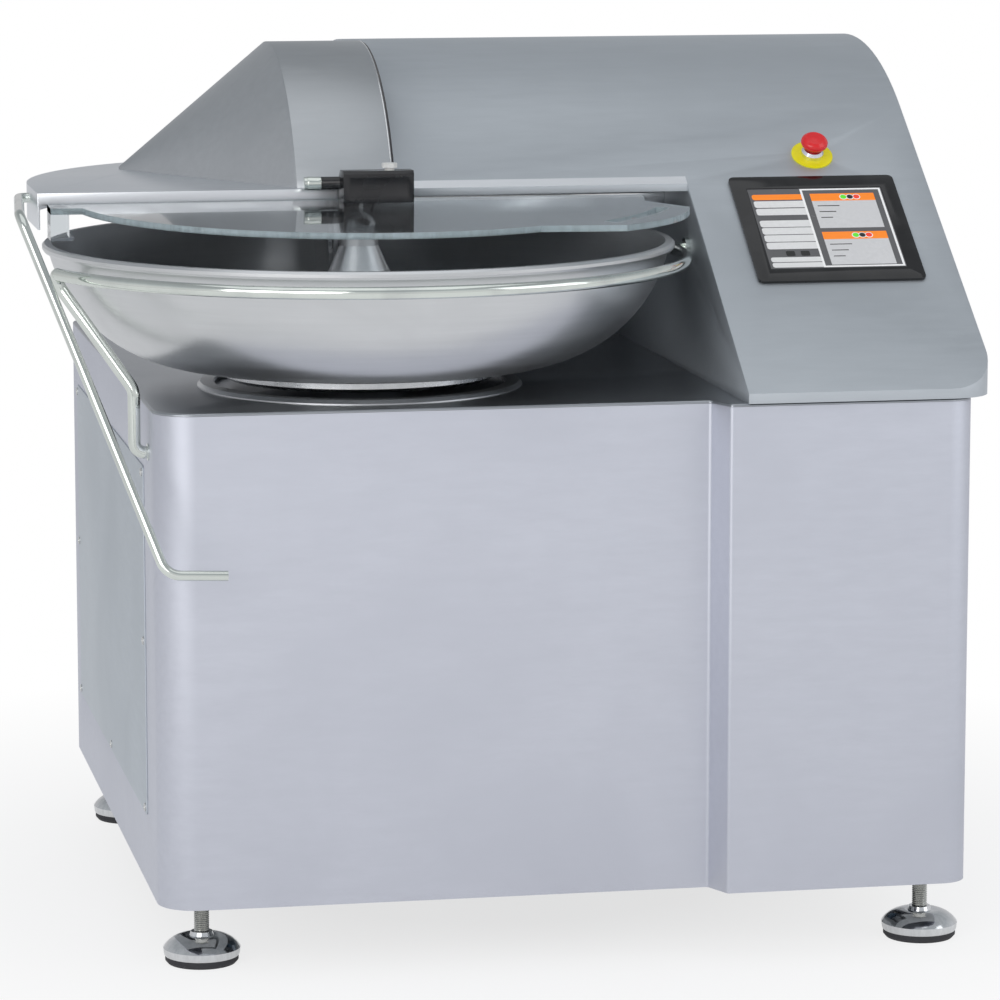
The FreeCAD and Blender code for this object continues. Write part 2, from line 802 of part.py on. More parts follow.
# Bowl bearings and drive
hub_top_z = cabinet_top - tube
hub_low_z = hub_top_z - bowl_hub_len
drive_plate_t = 12.0
gear_low = hub_low_z - drive_plate_t - gear_width - 8
pinion_x = gear_module * (gear_teeth + pinion_teeth) / 2 + 0.3


def bowl_bearing_housing():
    body = rod_z(bowl_hub_r, hub_low_z, hub_top_z + 24)
    flange = plate([(-bowl_beam_x - 20, -90, 12), (bowl_beam_x + 20, -90, 12),
                    (bowl_beam_x + 20, 90, 12), (-bowl_beam_x - 20, 90, 12)], hub_top_z - 14, hub_top_z)
    ribs = [box(-bowl_beam_x, bowl_beam_x, -6, 6, hub_low_z + 20, hub_top_z - 14),
            box(-6, 6, -85, 85, hub_low_z + 20, hub_top_z - 14)]
    solid = join([body, flange] + ribs)
    bore = rod_z(bowl_shaft_r + 4, hub_low_z - 1, hub_top_z + 30)
    seats = [rod_z(bowl_bearing_r, hub_low_z - 1, hub_low_z + bowl_bearing_w),
             rod_z(bowl_bearing_r, hub_top_z + 24 - bowl_bearing_w, hub_top_z + 25)]
    return solid.cut(bore).cut(seats[0]).cut(seats[1])


def bowl_bearings():
    rings = []
    for z in (hub_low_z, hub_top_z + 24 - bowl_bearing_w):
        rings.append(ring_z_axis(bowl_bearing_r, bowl_shaft_r + running_fit, z, z + bowl_bearing_w))
    return Part.makeCompound(rings)


def drive_plate():
    solid = plate([(-90, -85, 12), (pinion_x + 90, -115, 20), (pinion_x + 90, 115, 20), (-90, 85, 12)],
                  hub_low_z - drive_plate_t, hub_low_z)
    solid = solid.cut(rod_z(bowl_shaft_r + 2, hub_low_z - drive_plate_t - 1, hub_low_z + 1))
    for x, y in drive_post_places():
        solid = solid.fuse(rod_z(9, drive_flange_top, hub_low_z - drive_plate_t, x, y))
    return solid.removeSplitter()


drive_flange_top = gear_low - 8


def drive_post_places():
    return [(pinion_x + 62, -72), (pinion_x + 62, 72), (pinion_x - 8, -98), (pinion_x - 8, 98)]


def gear_outline(teeth, phase_deg, backlash):
    """Straight-flanked spur gear with clearance at the flanks."""
    pitch_r = gear_module * teeth / 2
    tip_r = pitch_r + 0.9 * gear_module
    root_r = pitch_r - 1.2 * gear_module
    half_pitch = (gear_module * math.pi / 2 - backlash) / 2 / pitch_r
    lean = 0.9 * gear_module * math.tan(math.radians(20)) / pitch_r
    points = []
    for k in range(teeth):
        middle = math.radians(phase_deg) + 2 * math.pi * k / teeth
        for radius, angle in ((root_r, -half_pitch - 1.3 * lean), (tip_r, -half_pitch + lean),
                              (tip_r, half_pitch - lean), (root_r, half_pitch + 1.3 * lean)):
            points.append((radius * math.cos(middle + angle), radius * math.sin(middle + angle)))
    return points


def bowl_gear():
    gear = plate(gear_outline(gear_teeth, 0, gear_backlash), gear_low, gear_low + gear_width)
    bore = rod_z(bowl_shaft_r - 6 + running_fit, gear_low - 1, gear_low + gear_width + 1)
    gear = gear.cut(bore)
    for k in range(6):
        angle = math.radians(60 * k)
        gear = gear.cut(rod_z(14, gear_low - 1, gear_low + gear_width + 1,
                              56 * math.cos(angle), 56 * math.sin(angle)))
    return gear


def drive_pinion():
    phase = 180 + 180 / pinion_teeth
    pinion = plate(gear_outline(pinion_teeth, phase, gear_backlash), gear_low, gear_low + gear_width)
    shaft = rod_z(14, gear_low - 34, gear_low + gear_width + 6)
    solid = pinion.fuse(shaft)
    solid.translate(Vector(pinion_x, 0, 0))
    return solid.removeSplitter()


def bowl_gear_motor():
    top = drive_flange_top
    flange = plate([(pinion_x - 40, -112, 14), (pinion_x + 80, -112, 14), (pinion_x + 80, 112, 14),
                    (pinion_x - 40, 112, 14)], top - 12, top)
    box_body = plate([(pinion_x - 62, -70, 16), (pinion_x + 66, -70, 16), (pinion_x + 66, 70, 16),
                      (pinion_x - 62, 70, 16)], top - 130, top - 12)
    motor = rod_z(66, top - 340, top - 130, pinion_x + 6, 0)
    fins = [ring_z_axis(72, 64, top - 150 - 22 * k, top - 145 - 22 * k, pinion_x + 6, 0)
            for k in range(8)]
    cap = rod_z(69, top - 372, top - 336, pinion_x + 6, 0)
    terminal = box(pinion_x + 60, pinion_x + 108, -38, 38, top - 250, top - 170)
    solid = join([flange, box_body, motor, cap, terminal] + fins)
    bore = rod_z(14 + running_fit, gear_low - 34 - seat_gap, top + 1, pinion_x, 0)
    return solid.cut(bore)


# Knife shaft
def shaft_tube():
    tube_body = ring_x_axis(shaft_tube_r, shaft_tube_bore, shaft_tube_left, shaft_tube_right,
                            trough_mid, knife_z)
    return tube_body


def shaft_seal():
    return ring_x_axis(shaft_tube_bore, shaft_r + running_fit, shaft_tube_left + 1,
                       shaft_tube_left + 9, trough_mid, knife_z)


def bearing_block():
    barrel = rod_x(bearing_block_r, bearing_block_left, bearing_block_right, trough_mid, knife_z)
    foot = box(bearing_block_left + 10, bearing_block_right - 10, trough_mid - 70, trough_mid + 70,
               pedestal_top, pedestal_top + 16)
    web = box(bearing_block_left + 30, bearing_block_right - 30, trough_mid - 30, trough_mid + 30,
              pedestal_top, knife_z)
    solid = join([barrel, foot, web])
    bore = rod_x(shaft_r + 4, bearing_block_left - 1, bearing_block_right + 1, trough_mid, knife_z)
    solid = solid.cut(bore)
    for x in (bearing_block_left, bearing_block_right - block_bearing_w):
        solid = solid.cut(rod_x(block_bearing_r, x - 0.01, x + block_bearing_w + 0.01, trough_mid, knife_z))
    return solid


def shaft_bearings():
    bore = shaft_r + running_fit
    front = ring_x_axis(shaft_tube_bore, bore, shaft_tube_left + 10, shaft_tube_left + 30,
                        trough_mid, knife_z)
    rings = [ring_x_axis(block_bearing_r, bore, x, x + block_bearing_w, trough_mid, knife_z)
             for x in (bearing_block_left, bearing_block_right - block_bearing_w)]
    return Part.makeCompound([front] + rings)


pedestal_top = knife_z - bearing_block_r - 18


def bearing_pedestal():
    y0, y1 = trough_mid - 80, trough_mid + 80
    base = box(pedestal_x0 - 8, pedestal_x1 + 8, y0 - 20, y1 + 20, deck_top, deck_top + 14)
    head = box(pedestal_x0, pedestal_x1, y0, y1, pedestal_top - 14, pedestal_top)
    cheeks = [box(x, x + 12, y0 + 10, y1 - 10, deck_top + 14, pedestal_top - 14)
              for x in (pedestal_x0 + 6, pedestal_x1 - 18)]
    rib = box(pedestal_x0 + 18, pedestal_x1 - 18, trough_mid - 6, trough_mid + 6,
              deck_top + 14, pedestal_top - 14)
    return join([base, head, rib] + cheeks)


knife_last_x = knife_first_x + knife_pitch * (knife_pairs - 1) + 2 * knife_t


def knife_shaft():
    right = pulley_left + pulley_width + 10
    parts = [rod_x(shaft_r, knife_first_x - 22, right, trough_mid, knife_z),
             rod_x(shoulder_r, knife_last_x, knife_last_x + shoulder_w, trough_mid, knife_z)]
    return join(parts)


def knife_blade():
    """Sickle blade in the XY plane, with its hub at the origin and its edge on a convex arc."""
    tip = knife_r
    hub = Part.Face(Part.Wire(Part.makeCircle(knife_hub_r)))
    start_low = Vector(knife_hub_r * math.cos(math.radians(-72)), knife_hub_r * math.sin(math.radians(-72)), 0)
    start_high = Vector(knife_hub_r * math.cos(math.radians(108)), knife_hub_r * math.sin(math.radians(108)), 0)
    tip_out = Vector(tip * math.cos(math.radians(58)), tip * math.sin(math.radians(58)), 0)
    tip_in = Vector(tip * math.cos(math.radians(74)), tip * math.sin(math.radians(74)), 0)
    tip_mid = Vector(tip * math.cos(math.radians(66)), tip * math.sin(math.radians(66)), 0)
    edge_mid = Vector(118, 38, 0)
    back_mid = Vector(24, 118, 0)
    wire = Part.Wire([
        Part.LineSegment(start_high, start_low).toShape(),
        Part.Arc(start_low, edge_mid, tip_out).toShape(),
        Part.Arc(tip_out, tip_mid, tip_in).toShape(),
        Part.Arc(tip_in, back_mid, start_high).toShape(),
    ])
    blade = Part.Face(wire).extrude(Vector(0, 0, knife_t)).fuse(hub.extrude(Vector(0, 0, knife_t)))
    return blade.cut(rod_z(shaft_r, -1, knife_t + 1))


def knife_pair(index):
    turn = 60.0 * index
    blades = []
    for side in range(2):
        blade = knife_blade()
        blade.rotate(Vector(0, 0, 0), Vector(0, 0, 1), turn + 180 * side)
        blade.translate(Vector(0, 0, side * knife_t))
        blade.rotate(Vector(0, 0, 0), Vector(1, 1, 1), 120)
        blade.translate(Vector(knife_first_x + knife_pitch * index, trough_mid, knife_z))
        blades.append(blade)
    return Part.makeCompound(blades)


def knife_spacers():
    rings = []
    for index in range(knife_pairs - 1):
        x = knife_first_x + knife_pitch * index + 2 * knife_t
        rings.append(ring_x_axis(spacer_r, shaft_r, x, x + knife_pitch - 2 * knife_t, trough_mid, knife_z))
    return Part.makeCompound(rings)


def knife_nut():
    x = knife_first_x
    washer = rod_x(spacer_r, x - 6, x, trough_mid, knife_z)
    body = Part.Face(outline([(24 * math.cos(math.radians(60 * k)) * 1.15,
                               24 * math.sin(math.radians(60 * k)) * 1.15) for k in range(6)]))
    nut = body.extrude(Vector(0, 0, 22))
    nut.rotate(Vector(0, 0, 0), Vector(1, 1, 1), 120)
    nut.translate(Vector(x - 28, trough_mid, knife_z))
    bore = rod_x(shaft_r, x - 22, x + 1, trough_mid, knife_z)
    return join([washer, nut]).cut(bore)


# Belt drive
def pulley(radius, bore, y, z):
    rim = rod_x(radius, pulley_left, pulley_left + pulley_width, y, z)
    flanges = [rod_x(radius + 5, x, x + 1.6, y, z)
               for x in (pulley_left - 1.6, pulley_left + pulley_width)]
    hub = rod_x(bore + 14, pulley_left - 12, pulley_left + pulley_width, y, z)
    solid = join([rim, hub] + flanges)
    groove = ring_x_axis(radius - 12, bore + 14, pulley_left + pulley_width - 16,
                         pulley_left + pulley_width + 2, y, z)
    return solid.cut(groove).cut(rod_x(bore, pulley_left - 20, pulley_left + pulley_width + 20, y, z))


def belt_loop(extra):
    """Area inside a belt round both pulleys, drawn with Y and Z in the XY plane."""
    low = Vector(motor_y, motor_z, 0)
    high = Vector(trough_mid, knife_z, 0)
    r_low, r_high = motor_pulley_r + extra, shaft_pulley_r + extra
    line = high - low
    distance = line.Length
    heading = math.atan2(line.y, line.x)
    spread = math.acos((r_low - r_high) / distance)

    def at(centre, radius, angle):
        return Vector(centre.x + radius * math.cos(angle), centre.y + radius * math.sin(angle), 0)

    left, right = heading + spread, heading - spread
    edges = [
        Part.Arc(at(low, r_low, left), at(low, r_low, heading + math.pi), at(low, r_low, right)).toShape(),
        Part.LineSegment(at(low, r_low, right), at(high, r_high, right)).toShape(),
        Part.Arc(at(high, r_high, right), at(high, r_high, heading), at(high, r_high, left)).toShape(),
        Part.LineSegment(at(high, r_high, left), at(low, r_low, left)).toShape(),
    ]
    return Part.Face(Part.Wire(edges))


def drive_belt():
    x0 = pulley_left + (pulley_width - belt_width) / 2
    outer = along_x(belt_loop(seat_gap + belt_t), x0, x0 + belt_width)
    inner = along_x(belt_loop(seat_gap), x0 - 1, x0 + belt_width + 1)
    return outer.cut(inner)


motor_base_z = floor_gap + tube + 20


def main_motor():
    body = rod_x(motor_r - 12, motor_left, motor_right, motor_y, motor_z)
    fins = [ring_x_axis(motor_r, motor_r - 14, motor_left + 50 + 16 * k, motor_left + 54 + 16 * k,
                        motor_y, motor_z) for k in range(14)]
    cowl = rod_x(motor_r - 2, motor_left - 46, motor_left + 34, motor_y, motor_z)
    feet = [box(motor_left + 60, motor_right - 60, motor_y + s - 22, motor_y + s + 22, motor_base_z,
                motor_z - 70) for s in (-84, 84)]
    terminal = box(motor_left + 110, motor_left + 220, motor_y - 55, motor_y + 55, motor_z + 90,
                   motor_z + motor_r + 42)
    face = rod_x(motor_r - 30, motor_right, motor_right + 12, motor_y, motor_z)
    solid = join([body, cowl, terminal, face] + feet + fins)
    return solid.cut(rod_x(motor_shaft_r + running_fit, motor_right - 60, motor_right + 20, motor_y, motor_z))


def motor_shaft():
    return rod_x(motor_shaft_r, motor_right - 58, pulley_left + pulley_width + 4, motor_y, motor_z)


gear_box_left, gear_box_right = -190.0, 100.0
gear_box_front, gear_box_back = 440.0, 640.0
gear_box_height = 360.0
gear_box_wall = 3.0
gear_door_t = 8.0


def switchgear_box():
    """Sheet box with a door in front and a cable opening in its floor."""
    low = floor_gap + tube
    high = low + gear_box_height
    wall = gear_box_wall
    body = box(gear_box_left, gear_box_right, gear_box_front, gear_box_back, low, high)
    hollow = box(gear_box_left + wall, gear_box_right - wall, gear_box_front + wall,
                 gear_box_back - wall, low + wall, high - wall)
    cables = box(gear_box_left + 90, gear_box_right - 80, gear_box_front + 60, gear_box_back - 40,
                 low - 1, low + wall + 1)
    door = box(gear_box_left + 6, gear_box_right - 6, gear_box_front - gear_door_t, gear_box_front,
               low + 8, high - 8)
    return body.cut(hollow).cut(cables).fuse(door)


# Knife hood
def hood_plan(inset):
    """Plan of the hood: a straight front and right side, and a round left end."""
    radius = hood_left_r - inset
    cy = hood_centre_y
    right = hood_right
    rise = math.sqrt(radius ** 2 - right ** 2)
    front = hood_front + inset
    diagonal = math.radians(132)
    edges = [
        Part.LineSegment(Vector(right, front, 0), Vector(-radius, front, 0)).toShape(),
        Part.LineSegment(Vector(-radius, front, 0), Vector(-radius, cy, 0)).toShape(),
        Part.Arc(Vector(-radius, cy, 0),
                 Vector(radius * math.cos(diagonal), cy + radius * math.sin(diagonal), 0),
                 Vector(right, cy + rise, 0)).toShape(),
        Part.LineSegment(Vector(right, cy + rise, 0), Vector(right, front, 0)).toShape(),
    ]
    return Part.Face(Part.Wire(edges))


def arch_half(radius, level):
    return math.sqrt(radius ** 2 - (level - ring_z) ** 2)


def arch_face(radius, level):
    """Segment of the ring's circle above a level, drawn with Y and Z in the XY plane."""
    half = arch_half(radius, level)
    a, b = Vector(ring_y - half, level, 0), Vector(ring_y + half, level, 0)
    top = Vector(ring_y, ring_z + radius, 0)
    return Part.Face(Part.Wire([Part.Arc(a, top, b).toShape(), Part.LineSegment(b, a).toShape()]))


def hood_plate():
    low = hood_top - hood_skirt
    outer = hood_plan(0).extrude(Vector(0, 0, hood_skirt))
    outer.translate(Vector(0, 0, low))
    inner = hood_plan(hood_t).extrude(Vector(0, 0, hood_skirt - hood_t + 1))
    inner.translate(Vector(0, 0, low - 1))
    shell = outer.cut(inner)
    front_cut = box(-hood_left_r + hood_t, hood_right + 1, hood_front - 1, hood_front + hood_t + 1,
                    low - 1, hood_top - hood_lip)
    right_cut = box(hood_right - 60, hood_right + 1, hood_front - 1, 600, low - 1, hood_top - hood_lip)
    tab = box(ring_left + 6, hood_right - 4, bracket_front - 8, bracket_back, hood_top - hood_t, hood_top)
    shell = shell.cut(front_cut).cut(right_cut).fuse(tab)
    half = arch_half(ring_r - hood_t, hood_top) - 1
    opening = box(ring_left, hood_right + 1, ring_y - half, ring_y + half, low - 1, hood_top + 1)
    throat = plate([(ring_left + 0.5, ring_y - half), (ring_left + 0.5, ring_y + half),
                    (cone_tip_x + 34, cone_tip_y + 4), (cone_tip_x + 34, cone_tip_y - 4)],
                   low - 1, hood_top + 1)
    shell = shell.cut(opening).cut(throat)
    strip = box(ring_left - 1, hood_right, hood_front, hood_front + hood_t, hood_top - hood_lip, hood_top)
    return shell.fuse(strip).removeSplitter()


def hood_ring():
    outer = along_x(arch_face(ring_r, hood_top), ring_left, hood_right)
    inner = along_x(arch_face(ring_r - hood_t, hood_top - 1), ring_left - 1, hood_right + 1)
    inner = inner.fuse(box(ring_left - 1, hood_right + 1, ring_y - arch_half(ring_r - hood_t, hood_top),
                           ring_y + arch_half(ring_r - hood_t, hood_top), hood_top - 2, hood_top + 1))
    shell = outer.cut(inner)
    bead = along_x(arch_face(ring_r, hood_top), hood_right - 8, hood_right).cut(
        along_x(arch_face(ring_r - 9, hood_top - 1), hood_right - 9, hood_right + 1)).cut(
        box(hood_right - 9, hood_right + 1, ring_y - arch_half(ring_r - 9, hood_top),
            ring_y + arch_half(ring_r - 9, hood_top), hood_top - 2, hood_top + 3))
    return shell.fuse(bead).removeSplitter()


def arch_wire(x, half_start, half_end, top, centre_y):
    a = Vector(x, centre_y - half_start, hood_top)
    b = Vector(x, centre_y + half_end, hood_top)
    return Part.Wire([Part.Arc(a, Vector(x, centre_y, top), b).toShape(),
                      Part.LineSegment(b, a).toShape()])


def cone_solid(radius, tip_x, tip_size):
    half = arch_half(radius, hood_top)
    base = arch_wire(ring_left, half, half, ring_z + radius, ring_y)
    ratio = (ring_z + radius - hood_top) / half
    tip = arch_wire(tip_x, tip_size, tip_size, hood_top + tip_size * ratio, cone_tip_y)
    return Part.makeLoft([base, tip], True, True)


def hood_cone():
    outer = cone_solid(ring_r, cone_tip_x, 5.0)
    inner = cone_solid(ring_r - hood_t, cone_tip_x + 16, 3.0)
    return outer.cut(inner)


def hood_hinge_bracket():
    low, high = bracket_front, bracket_back
    base = box(ring_left + 8, hood_right - 6, low, high, hood_top, hood_top + 6)
    arms = []
    for x in (ring_left + 12, hood_right - 24):
        arm = profile_x([(low + 2, hood_top + 5), (hood_hinge_y + 6, hood_top + 5),
                         (hood_hinge_y + 12, hood_hinge_z), (hood_hinge_y - 12, hood_hinge_z + 12),
                         (low + 2, hood_top + 16)], x, x + 16)
        barrel = rod_x(hinge_barrel_r, x - 2, x + 18, hood_hinge_y, hood_hinge_z)
        arms += [arm, barrel]
    solid = join([base] + arms)
    return solid.cut(rod_x(hinge_shaft_r + running_fit, -400, 400, hood_hinge_y, hood_hinge_z))


def hood_hinge_shaft():
    left = ring_left + 4
    shaft = rod_x(hinge_shaft_r, left, housing_left + 40, hood_hinge_y, hood_hinge_z)
    flange = rod_x(34, housing_left + sheet, housing_left + sheet + 12, hood_hinge_y, hood_hinge_z)
    return join([shaft, flange])


def hood_lever():
    skirt_x = -hood_left_r
    bend_x, bend_y, bend_z = skirt_x - 35, -150.0, 970.0
    low_x, low_y, low_z = -299.0, -350.0, 541.0
    points = [(skirt_x, 108, hood_top - 16), (skirt_x - 13, 108, hood_top - 16), (bend_x, bend_y, bend_z),
              (low_x, low_y, low_z), (low_x + 76, low_y, low_z - 3)]
    return bent_rod(points, [0, 12, 26, 26, 0], lever_r)


# Lid
def lug_point(radius, degrees):
    angle = math.radians(degrees)
    return Vector(radius * math.cos(angle), radius * math.sin(angle), 0)


def lid_sheet():
    """Flat clear sheet: round front, straight back and a grip tab at the right."""
    start = math.degrees(math.asin(lid_back / lid_r))
    left = Vector(-math.sqrt(lid_r ** 2 - lid_back ** 2), lid_back, 0)
    tab_start, tab_end = lug_point(lid_r, -62), lug_point(lid_r, -14)
    tab_low, tab_high = lug_point(440, -50), lug_point(436, -22)
    tab_mid = lug_point(447, -36)
    right = Vector(-left.x, lid_back, 0)
    ear = Vector(-hood_left_r + 12, lid_back, 0)
    ear_low = Vector(-hood_left_r + 12, lid_back - 46, 0)
    ear_join = lug_point(lid_r, 180 + 10)
    edges = [
        Part.LineSegment(right, ear).toShape(),
        Part.LineSegment(ear, ear_low).toShape(),
        Part.LineSegment(ear_low, ear_join).toShape(),
        Part.Arc(ear_join, lug_point(lid_r, -120), tab_start).toShape(),
        Part.LineSegment(tab_start, tab_low).toShape(),
        Part.Arc(tab_low, tab_mid, tab_high).toShape(),
        Part.LineSegment(tab_high, tab_end).toShape(),
        Part.Arc(tab_end, lug_point(lid_r, (-14 + start) / 2), right).toShape(),
    ]
    sheet_solid = Part.Face(Part.Wire(edges)).extrude(Vector(0, 0, lid_t))
    sheet_solid.translate(Vector(0, 0, lid_bottom))
    inner, outer = 394.0, 412.0
    a0, a1 = -48.0, -24.0
    mid = (a0 + a1) / 2
    slot = Part.Face(Part.Wire([
        Part.Arc(lug_point(outer, a0), lug_point(outer, mid), lug_point(outer, a1)).toShape(),
        Part.LineSegment(lug_point(outer, a1), lug_point(inner, a1)).toShape(),
        Part.Arc(lug_point(inner, a1), lug_point(inner, mid), lug_point(inner, a0)).toShape(),
        Part.LineSegment(lug_point(inner, a0), lug_point(outer, a0)).toShape(),
    ])).extrude(Vector(0, 0, lid_t + 2))
    slot.translate(Vector(0, 0, lid_bottom - 1))
    return lid_tilted(sheet_solid.cut(slot))


def lid_tilted(shape):
    """The lid falls a little to the front from its back edge."""
    turned_shape = shape.copy()
    turned_shape.rotate(Vector(0, lid_back, lid_top), Vector(1, 0, 0), lid_tilt_deg)
    return turned_shape


knuckle_a = (-72.0, -54.0)
knuckle_b = (8.0, 24.0)


def lid_hinge_bracket():
    parts = []
    for x0, x1 in (knuckle_a, knuckle_b):
        barrel = rod_x(knuckle_r, x0, x1, lid_hinge_y, lid_hinge_z)
        leg = box(x0, x1, lid_hinge_y, hood_front + 14, hood_top, hood_top + hinge_leg_t)
        parts.append(barrel.fuse(leg))
    bore = rod_x(lid_pin_r, knuckle_a[0] - 1, knuckle_b[1] + 1, lid_hinge_y, lid_hinge_z)
    return Part.makeCompound([p.cut(bore).removeSplitter() for p in parts])


def lid_hinge_pin():
    head = rod_x(lid_pin_r + 3.5, knuckle_a[0] - 4, knuckle_a[0], lid_hinge_y, lid_hinge_z)
    return join([rod_x(lid_pin_r, knuckle_a[0] - 4, block_right - 8, lid_hinge_y, lid_hinge_z), head])


def lid_block():
    """Hinge block on the lid's back edge, round the pin, with a sunk field in front."""
    rear = hood_front - 1
    drop = (lid_back - block_front) * math.tan(math.radians(lid_tilt_deg))
    body = profile_x([(lid_back, lid_top), (rear, lid_top), (rear, lid_hinge_z + 3), (lid_hinge_y - 9, block_top, 4),
                      (block_front + 3, block_top), (block_front, block_top - 4),
                      (block_front, lid_top - drop)], block_left, block_right)
    field = box(block_left + 9, block_right - 8, block_front - 1, block_front + 2, lid_top + 6, block_top - 9)
    sleeve = rod_x(lid_pin_r + 3.5, knuckle_a[1] + 0.4, block_left, lid_hinge_y, lid_hinge_z)
    slot = box(knuckle_b[0] - 0.4, knuckle_b[1] + 0.4, lid_hinge_y - knuckle_r - 0.5, rear + 1,
               lid_top + 4, block_top + 1)
    bore = rod_x(lid_pin_r + running_fit, knuckle_a[1], block_right - 8 + seat_gap,
                 lid_hinge_y, lid_hinge_z)
    well = rod_z(button_r - 3 + running_fit, block_top - button_well, block_top + 1, button_x, button_y)
    return body.cut(field).fuse(sleeve).cut(slot).cut(bore).cut(well)


button_x, button_y = 32.0, -51.0
block_top = lid_hinge_z + hinge_cover


def lid_button():
    """Eight-sided knob on a round stem."""
    low = block_top + button_stroke + seat_gap
    corner_r = button_r / math.cos(math.radians(22.5))
    corners = [(button_x + corner_r * math.cos(math.radians(45 * k + 22.5)),
                button_y + corner_r * math.sin(math.radians(45 * k + 22.5))) for k in range(8)]
    stem = rod_z(button_r - 3, block_top - button_well + button_stroke + seat_gap, low, button_x, button_y)
    return join([plate(corners, low, low + 6), stem])


def lid_side_clamp():
    """Clear upstand under the lid's left end, with a foot over the bowl's rim."""
    x0, y0 = -hood_left_r + 12, lid_back - 44
    wall = box(x0, x0 + 24, y0, lid_back - 2, lid_bottom - 30, lid_bottom)
    foot = box(x0, x0 + 30, y0, lid_back - 2, lid_bottom - 34, lid_bottom - 30)
    return lid_tilted(wall.fuse(foot).removeSplitter())


# Operator's controls
def panel_frame():
    frame = plate([(0, 0, 8), (panel_width, 0, 8), (panel_width, panel_height, 8), (0, panel_height, 8)],
                  0, panel_proud)
    window = box(screen_margin_x, panel_width - screen_margin_x, screen_margin_y,
                 panel_height - screen_margin_y, -1, panel_proud + 1)
    return on_slope(frame.cut(window), panel_left, panel_low)


def panel_screen():
    screen = box(screen_margin_x, panel_width - screen_margin_x, screen_margin_y,
                 panel_height - screen_margin_y, 0, panel_proud - 1)
    return on_slope(screen, panel_left, panel_low)


def panel_box():
    mx, my = screen_margin_x / 2 + 0.5, screen_margin_y / 2 + 0.5
    body = plate([(mx, my, 5), (panel_width - mx, my, 5), (panel_width - mx, panel_height - my, 5),
                  (mx, panel_height - my, 5)], -panel_depth, 0)
    return on_slope(body, panel_left, panel_low)


def stop_plate():
    ring = ring_z_axis(stop_plate_r, stop_collar_r - 4, 0, 1.6)
    return on_slope(ring, stop_x, stop_up)


def stop_collar():
    collar = turned_points([(6 + running_fit, 1.6), (stop_collar_r, 1.6), (stop_collar_r, 7),
                            (stop_collar_r - 2.5, 11), (6 + running_fit, 11)])
    barrel = ring_z_axis(stop_collar_r - 4, 6 + running_fit, -30, 1.6)
    contacts = box(-stop_contact_w / 2, stop_contact_w / 2, -20, 20, -72, -30)
    return on_slope(join([collar, barrel, contacts]), stop_x, stop_up)


def stop_button():
    head_low = 11 + stop_stroke + seat_gap
    head = turned([(0, 0, head_low), (10, 0, head_low), (stop_head_r - 0.5, 0, head_low + 3),
                   ((stop_head_r, head_low + 8), (stop_head_r - 3, head_low + 12)),
                   (stop_head_r - 5, 0, head_low + 13.5), (0, 0, head_low + 14)])
    stem = rod_z(6, -24, head_low)
    return on_slope(join([head, stem]), stop_x, stop_up)


def build():
    save(cabinet_shell(), "cabinet_shell")
    save(inspection_cover(), "inspection_cover")
    save(cover_screws(), "cover_screws")
    panel = rear_panel()
    save(join([panel] + rear_louvres()), "rear_panel")
    save(cable_gland(), "cable_gland")
    save(base_frame(), "base_frame")
    save(foot_studs(), "foot_studs")
    save(foot_domes(), "foot_domes")
    save(foot_pads(), "foot_pads")
    save(deck_plate(), "deck_plate")
    save(deck_collar(), "deck_collar")
    save(control_housing(), "control_housing")
    save(housing_rear_panel(), "housing_rear_panel")
    save(guard_rail(), "guard_rail")
    save(rail_sockets(), "rail_sockets")
    save(bowl(), "bowl")
    save(bowl_shaft(), "bowl_shaft")
    save(hub_cap(), "hub_cap")
    save(bowl_bearing_housing(), "bowl_bearing_housing")
    save(bowl_bearings(), "bowl_bearings")
    save(drive_plate(), "drive_plate")
    save(bowl_gear(), "bowl_gear")
    save(drive_pinion(), "drive_pinion")
    save(bowl_gear_motor(), "bowl_gear_motor")
    save(shaft_tube(), "shaft_tube")
    save(shaft_seal(), "shaft_seal")
    save(bearing_block(), "bearing_block")
    save(shaft_bearings(), "shaft_bearings")
    save(bearing_pedestal(), "bearing_pedestal")
    save(knife_shaft(), "knife_shaft")
    for index in range(knife_pairs):
        save(knife_pair(index), "knife_pair_" + str(index + 1))
    save(knife_spacers(), "knife_spacers")
    save(knife_nut(), "knife_nut")
    save(pulley(shaft_pulley_r, shaft_r, trough_mid, knife_z), "shaft_pulley")
    save(pulley(motor_pulley_r, motor_shaft_r, motor_y, motor_z), "motor_pulley")
    save(drive_belt(), "drive_belt")
    save(main_motor(), "main_motor")
    save(motor_shaft(), "motor_shaft")
    save(switchgear_box(), "switchgear_box")
    save(hood_plate(), "hood_plate")
    save(hood_ring(), "hood_ring")
    save(hood_cone(), "hood_cone")
    save(hood_hinge_bracket(), "hood_hinge_bracket")
    save(hood_hinge_shaft(), "hood_hinge_shaft")
    save(hood_lever(), "hood_lever")
    save(lid_sheet(), "lid_sheet")
    save(lid_hinge_bracket(), "lid_hinge_bracket")
    save(lid_hinge_pin(), "lid_hinge_pin")
    save(lid_block(), "lid_block")
    save(lid_button(), "lid_button")
    save(lid_side_clamp(), "lid_side_clamp")
    save(panel_frame(), "panel_frame")
    save(panel_screen(), "panel_screen")
    save(panel_box(), "panel_box")
    save(stop_plate(), "stop_plate")
    save(stop_collar(), "stop_collar")
    save(stop_button(), "stop_button")


build()
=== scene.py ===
import json
import math

import bpy
from mathutils import Matrix, Vector


